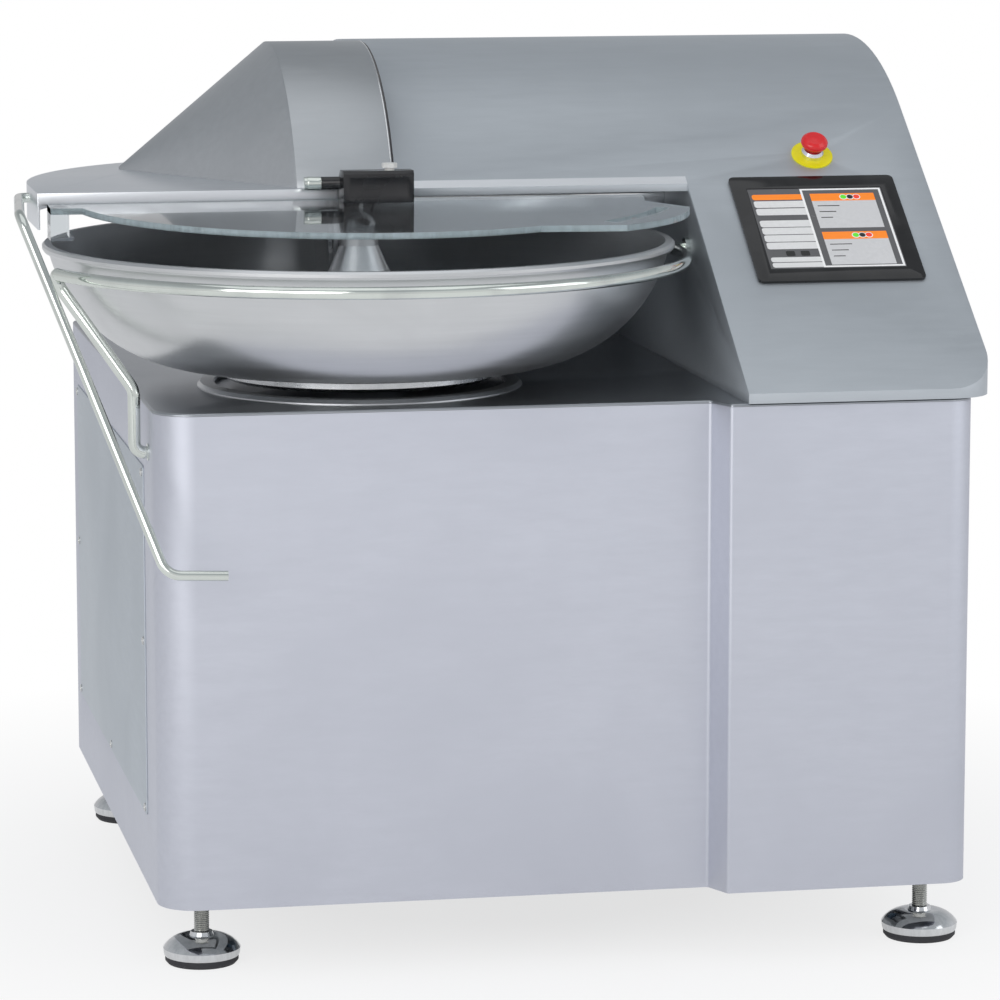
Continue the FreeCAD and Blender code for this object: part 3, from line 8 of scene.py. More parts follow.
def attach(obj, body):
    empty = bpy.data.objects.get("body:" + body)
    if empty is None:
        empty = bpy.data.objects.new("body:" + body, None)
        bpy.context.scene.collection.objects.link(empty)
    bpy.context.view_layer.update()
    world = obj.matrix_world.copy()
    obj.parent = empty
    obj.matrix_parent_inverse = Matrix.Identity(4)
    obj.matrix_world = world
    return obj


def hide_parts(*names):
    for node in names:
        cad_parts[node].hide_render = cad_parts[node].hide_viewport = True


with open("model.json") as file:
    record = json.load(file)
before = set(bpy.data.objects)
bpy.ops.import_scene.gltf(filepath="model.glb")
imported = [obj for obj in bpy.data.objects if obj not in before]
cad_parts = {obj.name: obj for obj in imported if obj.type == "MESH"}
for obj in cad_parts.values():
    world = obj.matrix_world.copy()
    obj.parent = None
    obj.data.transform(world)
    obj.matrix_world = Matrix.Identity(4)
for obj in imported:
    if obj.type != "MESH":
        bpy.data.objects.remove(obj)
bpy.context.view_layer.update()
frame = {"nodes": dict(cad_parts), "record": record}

# Places that the pieces share, in metres. The bowl turns about a vertical line over this point.
BOWL = Vector((0.236, 0.158, 0.020))
SLOPE = math.radians(34.6)
LIP = Vector((0.0, -0.294, 0.720))
PANEL_LEFT = 0.508
PANEL_LOW = 0.212
FEET = ((0.0, 0.0), (0.948, -0.047), (0.0, 0.848), (0.948, 0.848))

# Axes that lie along x, measured from the bowl: the hood's drum and the housing's curved roof
DRUM_AXIS = Vector((0.0, 0.263, 0.8577))
DRUM_FOOT = 0.9655
ROOF_AXIS = Vector((0.0, 0.670, 0.93897))
ROOF_RADIUS = 0.120

# Ends of the housing's bridge over the bowl, in millimetres from the bowl's axis
BRIDGE_LEFT = 50
BRIDGE_RIGHT = 452

# The photographer's place, measured from the bowl, and view, in degrees
CAMERA_PLACE = Vector((-0.9562, -5.8528, 1.4816))
LOOKS_DOWN = 8.91
LOOKS_RIGHT = 11.0575
SENSOR_WIDTH = 36.0
FOCAL_WIDTHS = 4.555


# Camera, lamps and floor
def look_at_machine():
    data = bpy.data.cameras.new("photo_camera")
    data.sensor_width = SENSOR_WIDTH
    data.lens = SENSOR_WIDTH * FOCAL_WIDTHS
    data.clip_end = 100.0
    camera = bpy.data.objects.new("photo_camera", data)
    camera.location = BOWL + CAMERA_PLACE
    camera.rotation_euler = (math.radians(90.0 - LOOKS_DOWN), 0.0, math.radians(-LOOKS_RIGHT))
    bpy.context.scene.collection.objects.link(camera)
    bpy.context.scene.camera = camera


def soft_lamp(name, place, target, size, watts, tint):
    data = bpy.data.lights.new(name, "AREA")
    data.shape = "RECTANGLE"
    data.size, data.size_y = size
    data.energy = watts
    data.color = tint
    lamp = bpy.data.objects.new(name, data)
    lamp.location = place
    lamp.rotation_euler = (Vector(target) - Vector(place)).to_track_quat("-Z", "Y").to_euler()
    bpy.context.scene.collection.objects.link(lamp)


def studio_lamps():
    middle = (0.4, 0.3, 0.7)
    soft_lamp("front_lamp", (-3.2, -4.8, 3.0), middle, (4.5, 3.5), 115.0, (1.0, 0.99, 0.98))
    soft_lamp("side_lamp", (4.4, -2.6, 2.6), middle, (3.0, 3.0), 30.0, (0.96, 0.98, 1.0))
    soft_lamp("top_lamp", (0.2, -0.4, 4.8), middle, (4.5, 4.0), 30.0, (0.97, 0.985, 1.0))


def node_in(tree, kind, **settings):
    made = tree.nodes.new(kind)
    for key, value in settings.items():
        setattr(made, key, value)
    return made


def ramp_stops(ramp, stops):
    """stops are (position, colour). A new ramp has two."""
    elements = ramp.color_ramp.elements
    while len(elements) < len(stops):
        elements.new(0.5)
    for element, (position, colour) in zip(elements, stops):
        element.position = position
        element.color = colour


def studio_world():
    """White to the eye; steel sees a bright horizon under a grey-blue ceiling."""
    world = bpy.data.worlds.new("studio")
    bpy.context.scene.world = world
    world.use_nodes = True
    tree = world.node_tree
    tree.nodes.clear()
    out = node_in(tree, "ShaderNodeOutputWorld")
    white = node_in(tree, "ShaderNodeBackground")
    white.inputs["Color"].default_value = (1, 1, 1, 1)
    room = node_in(tree, "ShaderNodeBackground")
    room.inputs["Strength"].default_value = 0.82
    mix = node_in(tree, "ShaderNodeMixShader")
    rays = node_in(tree, "ShaderNodeLightPath")
    coords = node_in(tree, "ShaderNodeTexCoord")
    split = node_in(tree, "ShaderNodeSeparateXYZ")
    ramp = node_in(tree, "ShaderNodeValToRGB")
    ramp_stops(ramp, [(0.0, (0.80, 0.80, 0.82, 1)), (0.06, (0.90, 0.90, 0.92, 1)),
                      (0.30, (0.76, 0.78, 0.81, 1)), (0.62, (0.52, 0.55, 0.58, 1)),
                      (1.0, (0.44, 0.46, 0.48, 1))])
    behind = node_in(tree, "ShaderNodeMapRange")
    behind.inputs["From Min"].default_value = 0.1
    behind.inputs["From Max"].default_value = 0.9
    behind.inputs["To Min"].default_value = 1.0
    behind.inputs["To Max"].default_value = 0.75
    shaded = node_in(tree, "ShaderNodeVectorMath", operation="SCALE")
    tree.links.new(coords.outputs["Generated"], split.inputs[0])
    tree.links.new(split.outputs["Z"], ramp.inputs[0])
    tree.links.new(split.outputs["Y"], behind.inputs["Value"])
    tree.links.new(ramp.outputs[0], shaded.inputs[0])
    tree.links.new(behind.outputs[0], shaded.inputs["Scale"])
    tree.links.new(shaded.outputs[0], room.inputs["Color"])
    tree.links.new(rays.outputs["Is Camera Ray"], mix.inputs[0])
    tree.links.new(room.outputs[0], mix.inputs[1])
    tree.links.new(white.outputs[0], mix.inputs[2])
    tree.links.new(mix.outputs[0], out.inputs[0])


def studio_floor():
    """Pale floor that keeps the shadow near the machine and fades to white round it."""
    let_go()
    bpy.ops.mesh.primitive_circle_add(vertices=96, radius=40.0, fill_type="NGON",
                                      location=(0, 0, 0))
    floor = bpy.context.active_object
    floor.name = "floor"
    material = bpy.data.materials.new("pale_floor")
    material.use_nodes = True
    tree = material.node_tree
    tree.nodes.clear()
    out = node_in(tree, "ShaderNodeOutputMaterial")
    matt = node_in(tree, "ShaderNodeBsdfDiffuse")
    matt.inputs["Color"].default_value = (0.86, 0.86, 0.87, 1)
    glow = node_in(tree, "ShaderNodeEmission")
    mix = node_in(tree, "ShaderNodeMixShader")
    rays = node_in(tree, "ShaderNodeLightPath")
    coords = node_in(tree, "ShaderNodeTexCoord")
    shift = node_in(tree, "ShaderNodeMapping")
    shift.inputs["Location"].default_value = (-0.46, -0.42, 0)
    length = node_in(tree, "ShaderNodeVectorMath", operation="LENGTH")
    fade = node_in(tree, "ShaderNodeMapRange")
    fade.inputs["From Min"].default_value = 0.3
    fade.inputs["From Max"].default_value = 1.5
    fade.inputs["To Min"].default_value = 0.72
    gate = node_in(tree, "ShaderNodeMath", operation="MULTIPLY")
    least = node_in(tree, "ShaderNodeMath", operation="MAXIMUM")
    least.inputs[1].default_value = 0.42
    link = tree.links.new
    link(coords.outputs["Object"], shift.inputs[0])
    link(shift.outputs[0], length.inputs[0])
    link(length.outputs["Value"], fade.inputs["Value"])
    link(fade.outputs[0], gate.inputs[0])
    link(rays.outputs["Is Camera Ray"], gate.inputs[1])
    link(gate.outputs[0], least.inputs[0])
    link(least.outputs[0], mix.inputs[0])
    link(matt.outputs[0], mix.inputs[1])
    link(glow.outputs[0], mix.inputs[2])
    link(mix.outputs[0], out.inputs[0])
    floor.data.materials.append(material)


# Effects that several finishes share
def effect(name, inputs, outputs):
    """Empty node group. inputs are (name, kind, value), outputs are (name, kind)."""
    tree = bpy.data.node_groups.new(name, "ShaderNodeTree")
    for label, kind, value in inputs:
        made = tree.interface.new_socket(name=label, in_out="INPUT", socket_type=kind)
        made.default_value = value
    for label, kind in outputs:
        tree.interface.new_socket(name=label, in_out="OUTPUT", socket_type=kind)
    return tree, node_in(tree, "NodeGroupInput"), node_in(tree, "NodeGroupOutput")


NUMBER, PATH = "NodeSocketFloat", "NodeSocketVector"


def brush_grain():
    """Short parallel scratches of a brushed or turned surface, drawn out along one axis."""
    tree, given, put = effect(
        "brush_grain",
        [("Position", PATH, (0, 0, 0)), ("Stretch", PATH, (1, 1, 1)), ("Grain", NUMBER, 900.0)],
        [("Shade", NUMBER), ("Height", NUMBER)])
    scale = node_in(tree, "ShaderNodeVectorMath", operation="MULTIPLY")
    coarse = node_in(tree, "ShaderNodeTexNoise")
    coarse.inputs["Detail"].default_value = 4.0
    coarse.inputs["Roughness"].default_value = 0.65
    fine = node_in(tree, "ShaderNodeTexNoise")
    fine.inputs["Detail"].default_value = 2.0
    fine.inputs["Roughness"].default_value = 0.6
    third = node_in(tree, "ShaderNodeMath", operation="MULTIPLY")
    third.inputs[1].default_value = 0.22
    link = tree.links.new
    link(given.outputs["Position"], scale.inputs[0])
    link(given.outputs["Stretch"], scale.inputs[1])
    link(scale.outputs[0], coarse.inputs["Vector"])
    link(scale.outputs[0], fine.inputs["Vector"])
    link(given.outputs["Grain"], third.inputs[0])
    link(third.outputs[0], coarse.inputs["Scale"])
    link(given.outputs["Grain"], fine.inputs["Scale"])
    link(coarse.outputs["Fac"], put.inputs["Shade"])
    link(fine.outputs["Fac"], put.inputs["Height"])
    return tree


def spun_position():
    """Turns a place into radius, a little of the angle, and height, so that grain runs round."""
    tree, given, put = effect(
        "spun_position", [("Position", PATH, (0, 0, 0))], [("Position", PATH)])
    centre = node_in(tree, "ShaderNodeVectorMath", operation="SUBTRACT")
    centre.inputs[1].default_value = BOWL
    split = node_in(tree, "ShaderNodeSeparateXYZ")
    angle = node_in(tree, "ShaderNodeMath", operation="ARCTAN2")
    little = node_in(tree, "ShaderNodeMath", operation="MULTIPLY")
    little.inputs[1].default_value = 0.015
    flat = node_in(tree, "ShaderNodeVectorMath", operation="MULTIPLY")
    flat.inputs[1].default_value = (1, 1, 0)
    radius = node_in(tree, "ShaderNodeVectorMath", operation="LENGTH")
    join = node_in(tree, "ShaderNodeCombineXYZ")
    link = tree.links.new
    link(given.outputs["Position"], centre.inputs[0])
    link(centre.outputs[0], split.inputs[0])
    link(centre.outputs[0], flat.inputs[0])
    link(flat.outputs[0], radius.inputs[0])
    link(split.outputs["Y"], angle.inputs[0])
    link(split.outputs["X"], angle.inputs[1])
    link(angle.outputs[0], little.inputs[0])
    link(radius.outputs["Value"], join.inputs["X"])
    link(little.outputs[0], join.inputs["Y"])
    link(split.outputs["Z"], join.inputs["Z"])
    link(join.outputs[0], put.inputs["Position"])
    return tree


def handling_marks():
    """Broad soft patches where hands and cloths have left the surface a little duller."""
    tree, given, put = effect(
        "handling_marks",
        [("Position", PATH, (0, 0, 0)), ("Size", NUMBER, 4.0), ("Spread", NUMBER, 0.5)],
        [("Mask", NUMBER)])
    cloud = node_in(tree, "ShaderNodeTexNoise")
    cloud.inputs["Detail"].default_value = 5.0
    cloud.inputs["Distortion"].default_value = 0.6
    low = node_in(tree, "ShaderNodeMath", operation="SUBTRACT")
    low.inputs[0].default_value = 0.75
    span = node_in(tree, "ShaderNodeMapRange", interpolation_type="SMOOTHSTEP")
    span.inputs["From Max"].default_value = 0.8
    link = tree.links.new
    link(given.outputs["Position"], cloud.inputs["Vector"])
    link(given.outputs["Size"], cloud.inputs["Scale"])
    link(given.outputs["Spread"], low.inputs[1])
    link(cloud.outputs["Fac"], span.inputs["Value"])
    link(low.outputs[0], span.inputs["From Min"])
    link(span.outputs[0], put.inputs["Mask"])
    return tree


def edge_wear():
    """Bright rubbed edges, from how convex the surface is, broken up by fine noise."""
    tree, given, put = effect(
        "edge_wear",
        [("Position", PATH, (0, 0, 0)), ("Width", NUMBER, 0.04), ("Breaks", NUMBER, 60.0)],
        [("Mask", NUMBER)])
    shape = node_in(tree, "ShaderNodeNewGeometry")
    start = node_in(tree, "ShaderNodeMath", operation="ADD")
    start.inputs[0].default_value = 0.5
    span = node_in(tree, "ShaderNodeMapRange")
    span.inputs["From Max"].default_value = 0.62
    speck = node_in(tree, "ShaderNodeTexNoise")
    speck.inputs["Detail"].default_value = 3.0
    both = node_in(tree, "ShaderNodeMath", operation="MULTIPLY", use_clamp=True)
    link = tree.links.new
    link(given.outputs["Width"], start.inputs[1])
    link(start.outputs[0], span.inputs["From Min"])
    link(shape.outputs["Pointiness"], span.inputs["Value"])
    link(given.outputs["Position"], speck.inputs["Vector"])
    link(given.outputs["Breaks"], speck.inputs["Scale"])
    link(span.outputs[0], both.inputs[0])
    link(speck.outputs["Fac"], both.inputs[1])
    link(both.outputs[0], put.inputs["Mask"])
    return tree


def settled_dust():
    """Dust and flour that lie on what faces up."""
    tree, given, put = effect(
        "settled_dust",
        [("Position", PATH, (0, 0, 0)), ("Amount", NUMBER, 0.3), ("Size", NUMBER, 40.0)],
        [("Mask", NUMBER)])
    shape = node_in(tree, "ShaderNodeNewGeometry")
    split = node_in(tree, "ShaderNodeSeparateXYZ")
    up = node_in(tree, "ShaderNodeMapRange")
    up.inputs["From Min"].default_value = 0.5
    speck = node_in(tree, "ShaderNodeTexNoise")
    speck.inputs["Detail"].default_value = 6.0
    blend = node_in(tree, "ShaderNodeMath", operation="MULTIPLY")
    amount = node_in(tree, "ShaderNodeMath", operation="MULTIPLY", use_clamp=True)
    link = tree.links.new
    link(shape.outputs["Normal"], split.inputs[0])
    link(split.outputs["Z"], up.inputs["Value"])
    link(given.outputs["Position"], speck.inputs["Vector"])
    link(given.outputs["Size"], speck.inputs["Scale"])
    link(up.outputs[0], blend.inputs[0])
    link(speck.outputs["Fac"], blend.inputs[1])
    link(blend.outputs[0], amount.inputs[0])
    link(given.outputs["Amount"], amount.inputs[1])
    link(amount.outputs[0], put.inputs["Mask"])
    return tree


# Finishes
def new_finish(name, metallic, **plain):
    """Material with its shader, and the coordinates that its patterns use."""
    material = bpy.data.materials.new(name)
    material.use_nodes = True
    tree = material.node_tree
    shader = tree.nodes["Principled BSDF"]
    shader.inputs["Metallic"].default_value = metallic
    for socket, value in plain.items():
        shader.inputs[socket.replace("_", " ")].default_value = value
    coords = node_in(tree, "ShaderNodeTexCoord")
    return material, tree, shader, coords.outputs["Object"]


def use_effect(tree, group, position, **values):
    made = node_in(tree, "ShaderNodeGroup", node_tree=group)
    tree.links.new(position, made.inputs["Position"])
    for socket, value in values.items():
        made.inputs[socket].default_value = value
    return made


def mix_colours(tree, factor, first, second):
    mix = node_in(tree, "ShaderNodeMix", data_type="RGBA")
    tree.links.new(factor, mix.inputs[0])
    for socket, colour in ((mix.inputs[6], first), (mix.inputs[7], second)):
        if hasattr(colour, "default_value"):
            tree.links.new(colour, socket)
        else:
            socket.default_value = (*colour, 1)
    return mix.outputs[2]


def scaled(colour, factor, added=0.0):
    return [min(1, factor * part + added) for part in colour]


def spread(tree, value, low, high, from_low=0.3, from_high=0.7):
    """Carries a value from its own range to the range low to high."""
    made = node_in(tree, "ShaderNodeMapRange")
    made.inputs["From Min"].default_value = from_low
    made.inputs["From Max"].default_value = from_high
    made.inputs["To Min"].default_value = low
    made.inputs["To Max"].default_value = high
    tree.links.new(value, made.inputs["Value"])
    return made.outputs[0]


def relief(tree, shader, height, depth):
    bump = node_in(tree, "ShaderNodeBump")
    bump.inputs["Distance"].default_value = depth
    tree.links.new(height, bump.inputs["Height"])
    tree.links.new(bump.outputs[0], shader.inputs["Normal"])


def brushed_steel(name, dark, light, rough, stretch, marks=3.0, spun=False):
    material, tree, shader, position = new_finish(name, 1.0)
    path = use_effect(tree, SPUN, position).outputs[0] if spun else position
    brush = use_effect(tree, GRAIN, path, Stretch=stretch, Grain=420.0)
    hands = use_effect(tree, MARKS, position, Size=marks, Spread=0.36)
    dust = use_effect(tree, DUST, position, Amount=0.10)
    shade = spread(tree, brush.outputs["Shade"], 0.0, 1.0)
    base = mix_colours(tree, shade, dark, light)
    worn = mix_colours(tree, hands.outputs["Mask"], base, scaled(dark, 0.97))
    dusty = mix_colours(tree, dust.outputs["Mask"], worn, (0.62, 0.62, 0.61))
    tree.links.new(dusty, shader.inputs["Base Color"])
    dull = spread(tree, brush.outputs["Shade"], rough - 0.02, rough + 0.03)
    more = node_in(tree, "ShaderNodeMath", operation="MULTIPLY_ADD", use_clamp=True)
    more.inputs[1].default_value = 0.03
    tree.links.new(hands.outputs["Mask"], more.inputs[0])
    tree.links.new(dull, more.inputs[2])
    tree.links.new(more.outputs[0], shader.inputs["Roughness"])
    relief(tree, shader, brush.outputs["Height"], 0.00002)
    return material


def bright_metal(name, dark, light, rough, stretch):
    material, tree, shader, position = new_finish(name, 1.0)
    brush = use_effect(tree, GRAIN, position, Stretch=stretch, Grain=700.0)
    edges = use_effect(tree, WEAR, position, Width=0.05)
    shade = spread(tree, brush.outputs["Shade"], 0.0, 1.0)
    base = mix_colours(tree, shade, dark, light)
    rubbed = mix_colours(tree, edges.outputs["Mask"], base, (0.93, 0.93, 0.93))
    tree.links.new(rubbed, shader.inputs["Base Color"])
    dull = spread(tree, brush.outputs["Shade"], rough * 0.7, rough * 1.5)
    tree.links.new(dull, shader.inputs["Roughness"])
    relief(tree, shader, brush.outputs["Height"], 0.00001)
    return material


def drawn_rod(name, dark, light, rough):
    """Plated bar stock, smooth and mirror-like, with faint cloudy handling marks."""
    material, tree, shader, position = new_finish(name, 1.0)
    hands = use_effect(tree, MARKS, position, Size=14.0, Spread=0.42)
    tint = mix_colours(tree, hands.outputs["Mask"], light, dark)
    tree.links.new(tint, shader.inputs["Base Color"])
    dull = spread(tree, hands.outputs["Mask"], rough, rough + 0.06, 0.0, 1.0)
    tree.links.new(dull, shader.inputs["Roughness"])
    fine = use_effect(tree, GRAIN, position, Stretch=(1, 1, 1), Grain=900.0)
    relief(tree, shader, fine.outputs["Height"], 0.000002)
    return material


def paint(name, colour, rough, peel=220.0):
    material, tree, shader, position = new_finish(name, 0.0)
    skin = use_effect(tree, GRAIN, position, Stretch=(1, 1, 1), Grain=peel)
    edges = use_effect(tree, WEAR, position, Width=0.03)
    dust = use_effect(tree, DUST, position, Amount=0.35)
    shade = spread(tree, skin.outputs["Shade"], 0.0, 1.0)
    base = mix_colours(tree, shade, scaled(colour, 0.9), scaled(colour, 1.08))
    worn = mix_colours(tree, edges.outputs["Mask"], base, scaled(colour, 0.5, 0.35))
    dusty = mix_colours(tree, dust.outputs["Mask"], worn, (0.5, 0.49, 0.47))
    tree.links.new(dusty, shader.inputs["Base Color"])
    dull = spread(tree, skin.outputs["Shade"], rough - 0.05, rough + 0.08)
    tree.links.new(dull, shader.inputs["Roughness"])
    relief(tree, shader, skin.outputs["Height"], 0.00004)
    return material


def plastic(name, colour, rough, depth=0.00002, glow=0.0):
    coat = 0.15 if rough < 0.3 else 0.0
    material, tree, shader, position = new_finish(name, 0.0, Coat_Weight=coat)
    skin = use_effect(tree, GRAIN, position, Stretch=(1, 1, 1), Grain=900.0)
    hands = use_effect(tree, MARKS, position, Size=22.0, Spread=0.42)
    shade = spread(tree, skin.outputs["Shade"], 0.0, 1.0)
    base = mix_colours(tree, shade, scaled(colour, 0.94), scaled(colour, 1.04))
    greasy = mix_colours(tree, hands.outputs["Mask"], base, scaled(colour, 0.96, 0.01))
    tree.links.new(greasy, shader.inputs["Base Color"])
    if glow:
        tree.links.new(greasy, shader.inputs["Emission Color"])
        shader.inputs["Emission Strength"].default_value = glow
    dull = spread(tree, hands.outputs["Mask"], rough, rough + 0.08, 0.0, 1.0)
    tree.links.new(dull, shader.inputs["Roughness"])
    relief(tree, shader, skin.outputs["Height"], depth)
    return material


def rubber(name, colour):
    material, tree, shader, position = new_finish(name, 0.0)
    skin = use_effect(tree, GRAIN, position, Stretch=(1, 1, 1), Grain=1400.0)
    dust = use_effect(tree, DUST, position, Amount=0.8)
    shade = spread(tree, skin.outputs["Shade"], 0.0, 1.0)
    base = mix_colours(tree, shade, scaled(colour, 0.8), scaled(colour, 1.3))
    dusty = mix_colours(tree, dust.outputs["Mask"], base, (0.24, 0.23, 0.22))
    tree.links.new(dusty, shader.inputs["Base Color"])
    tree.links.new(spread(tree, skin.outputs["Shade"], 0.62, 0.8), shader.inputs["Roughness"])
    relief(tree, shader, skin.outputs["Height"], 0.00008)
    return material


def clear_sheet(name):
    """Clear acrylic with a blue-green cast and faint wiping marks."""
    material, tree, shader, position = new_finish(name, 0.0, IOR=1.47)
    shader.inputs["Transmission Weight"].default_value = 1.0
    wipe = use_effect(tree, MARKS, position, Size=9.0, Spread=0.3)
    streak = use_effect(tree, GRAIN, position, Stretch=(1.0, 0.12, 1.0), Grain=120.0)
    tint = mix_colours(tree, wipe.outputs["Mask"], (0.92, 0.96, 0.98), (0.85, 0.90, 0.92))
    tree.links.new(tint, shader.inputs["Base Color"])
    tree.links.new(spread(tree, streak.outputs["Shade"], 0.0, 0.05), shader.inputs["Roughness"])
    return material


def milky_edge(name, colour):
    material, tree, shader, position = new_finish(name, 0.0, IOR=1.3)
    saw = use_effect(tree, GRAIN, position, Stretch=(1, 1, 0.2), Grain=600.0)
    shade = spread(tree, saw.outputs["Shade"], 0.0, 1.0)
    tint = mix_colours(tree, shade, scaled(colour, 0.8), colour)
    tree.links.new(tint, shader.inputs["Base Color"])
    tree.links.new(spread(tree, saw.outputs["Shade"], 0.25, 0.40), shader.inputs["Roughness"])
    relief(tree, shader, saw.outputs["Height"], 0.00003)
    return material


# Modelling helpers
def let_go():
    if bpy.context.mode != "OBJECT":
        bpy.ops.object.mode_set(mode="OBJECT")
    bpy.ops.object.select_all(action="DESELECT")


def take(piece):
    let_go()
    piece.select_set(True)
    bpy.context.view_layer.objects.active = piece


def pick(piece, test, kind="FACE"):
    """Selects the faces, edges or corners that pass the test, and goes into edit mode."""
    take(piece)
    bpy.ops.object.mode_set(mode="EDIT")
    bpy.ops.mesh.select_all(action="DESELECT")
    bpy.ops.mesh.select_mode(type=kind)
    bpy.ops.object.mode_set(mode="OBJECT")
    data = piece.data
    if kind == "FACE":
        for face in data.polygons:
            face.select = bool(test(face.center, face.normal))
    elif kind == "VERT":
        for corner in data.vertices:
            corner.select = bool(test(corner.co))
    else:
        for edge in data.edges:
            a, b = (data.vertices[v].co for v in edge.vertices)
            edge.select = bool(test(a, b))
    bpy.ops.object.mode_set(mode="EDIT")


def settle(piece):
    """Puts the object's place, turn and size into its mesh."""
    take(piece)
    bpy.ops.object.transform_apply(location=True, rotation=True, scale=True)
    return piece


def round_edges(piece, width, steps, angle=30.0):
    take(piece)
    bevel = piece.modifiers.new("round", "BEVEL")
    bevel.width = width
    bevel.segments = steps
    bevel.limit_method = "ANGLE"
    bevel.angle_limit = math.radians(angle)
    bpy.ops.object.modifier_apply(modifier=bevel.name)
    bpy.ops.object.shade_smooth_by_angle(angle=math.radians(angle))
    return piece


def finish_piece(piece, name, body, material):
    settle(piece)
    piece.name = name
    piece.data.name = name
    piece.data.materials.clear()
    piece.data.materials.append(material)
    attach(piece, body)
    return piece


def join_pieces(pieces, name, body, material):
    let_go()
    for piece in pieces:
        piece.select_set(True)
    bpy.context.view_layer.objects.active = pieces[0]
    bpy.ops.object.join()
    return finish_piece(bpy.context.active_object, name, body, material)


def body_of(node):
    groups = frame["record"]["behaviour"]["bodies"]
    return next(body for body, nodes in groups.items() if node in nodes)


def copy_of(node, name):
    """Copy of a constructed piece with its doubled corners merged, selected in edit mode."""
    piece = bpy.data.objects.new(name, frame["nodes"][node].data.copy())
    bpy.context.scene.collection.objects.link(piece)
    take(piece)
    bpy.ops.object.mode_set(mode="EDIT")
    bpy.ops.mesh.select_all(action="SELECT")
    bpy.ops.mesh.remove_doubles(threshold=0.00002)
    return piece


def fold_edges(node, material, width, angle=30.0):
    """A sheet or cast piece as the construction gives it, with its edges slightly rounded."""
    piece = copy_of(node, node + "_skin")
    bpy.ops.mesh.customdata_custom_splitnormals_clear()
    bpy.ops.mesh.dissolve_limited(angle_limit=math.radians(0.4))
    bpy.ops.object.mode_set(mode="OBJECT")
    round_edges(piece, width, 2, angle)
    finish_piece(piece, node + "_skin", body_of(node), material)
    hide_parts(node)


def on_slope(piece, x, up):
    """Tilts a piece that was drawn flat onto the control housing's slope."""
    settle(piece)
    turn = Matrix.Rotation(SLOPE, 4, "X")
    foot = Vector((x, LIP.y + up * math.cos(SLOPE), LIP.z + up * math.sin(SLOPE))) + BOWL
    piece.data.transform(Matrix.Translation(foot) @ turn)
    piece.data.update()
    return piece


# Touch screen with a generic layout
def tile(x0, y0, x1, y1, low, high, corner=0.0):
    """Thin flat plate from corner to corner and from low to high, in millimetres."""
    let_go()
    size = ((x1 - x0) / 1000, (y1 - y0) / 1000, (high - low) / 1000)
    middle = ((x0 + x1) / 2000, (y0 + y1) / 2000, (low + high) / 2000)
    bpy.ops.mesh.primitive_cube_add(size=1.0, location=middle, scale=size)
    piece = settle(bpy.context.active_object)
    if corner:
        upright = 1e-6
        pick(piece, lambda a, b: abs(a.x - b.x) < upright and abs(a.y - b.y) < upright, "EDGE")
        bpy.ops.mesh.bevel(offset=corner / 1000, segments=4, affect="EDGES")
        bpy.ops.object.mode_set(mode="OBJECT")
    return piece


def round_mark(x, y, radius, low, high):
    let_go()
    bpy.ops.mesh.primitive_cylinder_add(vertices=28, radius=radius / 1000, depth=(high - low) / 1000,
                                        location=(x / 1000, y / 1000, (low + high) / 2000))
    piece = settle(bpy.context.active_object)
    pick(piece, lambda centre, normal: normal.z > 0.9)
    bpy.ops.mesh.inset(thickness=radius * 0.18 / 1000, depth=0.00008)
    bpy.ops.object.mode_set(mode="OBJECT")
    return piece


def screen_layout():
    """Menu on the left, and a pane with two lists on the right, in layers over the glass."""
    base = 3.0
    menu_left, menu_right, menu_corner = 25, 96, 3.5
    list_left, list_right, bar_height, row_pitch = 105, 193, 15, 12
    groups = {name: [] for name in SCREEN}
    groups["menu_grey"].append(tile(21.5, 25.5, 205.5, 188.5, base, base + 0.10))
    groups["menu_orange"].append(
        tile(menu_left, 166, menu_right, 177, base + 0.1, base + 0.22, menu_corner))
    for y in (150, 134.5, 110, 95, 80, 65, 39, 28):
        top = y + (13.5 if y > 45 else 9.5)
        groups["menu_pale"].append(
            tile(menu_left, y, menu_right, top, base + 0.1, base + 0.22, menu_corner))
    for x in (48, 68):
        groups["mark_black"].append(tile(x, 51, x + 12, 61, base + 0.1, base + 0.2, 2.0))
    groups["pane_white"].append(tile(93, 27, 204, 187.5, base + 0.22, base + 0.30))
    groups["menu_grey"].append(tile(96, 30, 201, 184.5, base + 0.30, base + 0.36))
    for low, high in ((106, 177), (31.5, 98)):
        groups["list_grey"].append(
            tile(list_left, low, list_right, high, base + 0.36, base + 0.44))
        groups["menu_orange"].append(
            tile(list_left, high - bar_height, list_right, high, base + 0.44, base + 0.52))
        middle = high - bar_height / 2
        for x, name in ((150, "mark_green"), (159, "mark_black"), (168, "mark_red")):
            groups["pane_white"].append(round_mark(x, middle, 5.4, base + 0.5, base + 0.58))
            groups[name].append(round_mark(x, middle, 4.3, base + 0.56, base + 0.66))
        for row in range(3):
            x, y, length = list_left + 6, high - 26 - row * row_pitch, 30 - 7 * row
            groups["mark_black"].append(
                tile(x, y, x + length, y + 1.6, base + 0.44, base + 0.48))
    for name, tiles in groups.items():
        let_go()
        for piece in tiles:
            on_slope(piece, PANEL_LEFT, PANEL_LOW)
        join_pieces(tiles, "screen_" + name, "machine_base", SCREEN[name])


# Edges of the sheets
def bridge_edge_highlight():
    """Folded edge of the housing above the hood's lip, which closes the fold there. Its bright steel
    is a painted highlight, laid over the dark gap along the lip.
    """
    low, high, under, proud = 418.6, 434, -2.3, 0.2
    strip = on_slope(tile(BRIDGE_LEFT, low, BRIDGE_RIGHT, high, under, proud), 0.0, 0.0)
    finish_piece(strip, "bridge_edge_highlight", "machine_base", LIP_HIGHLIGHT_STEEL)


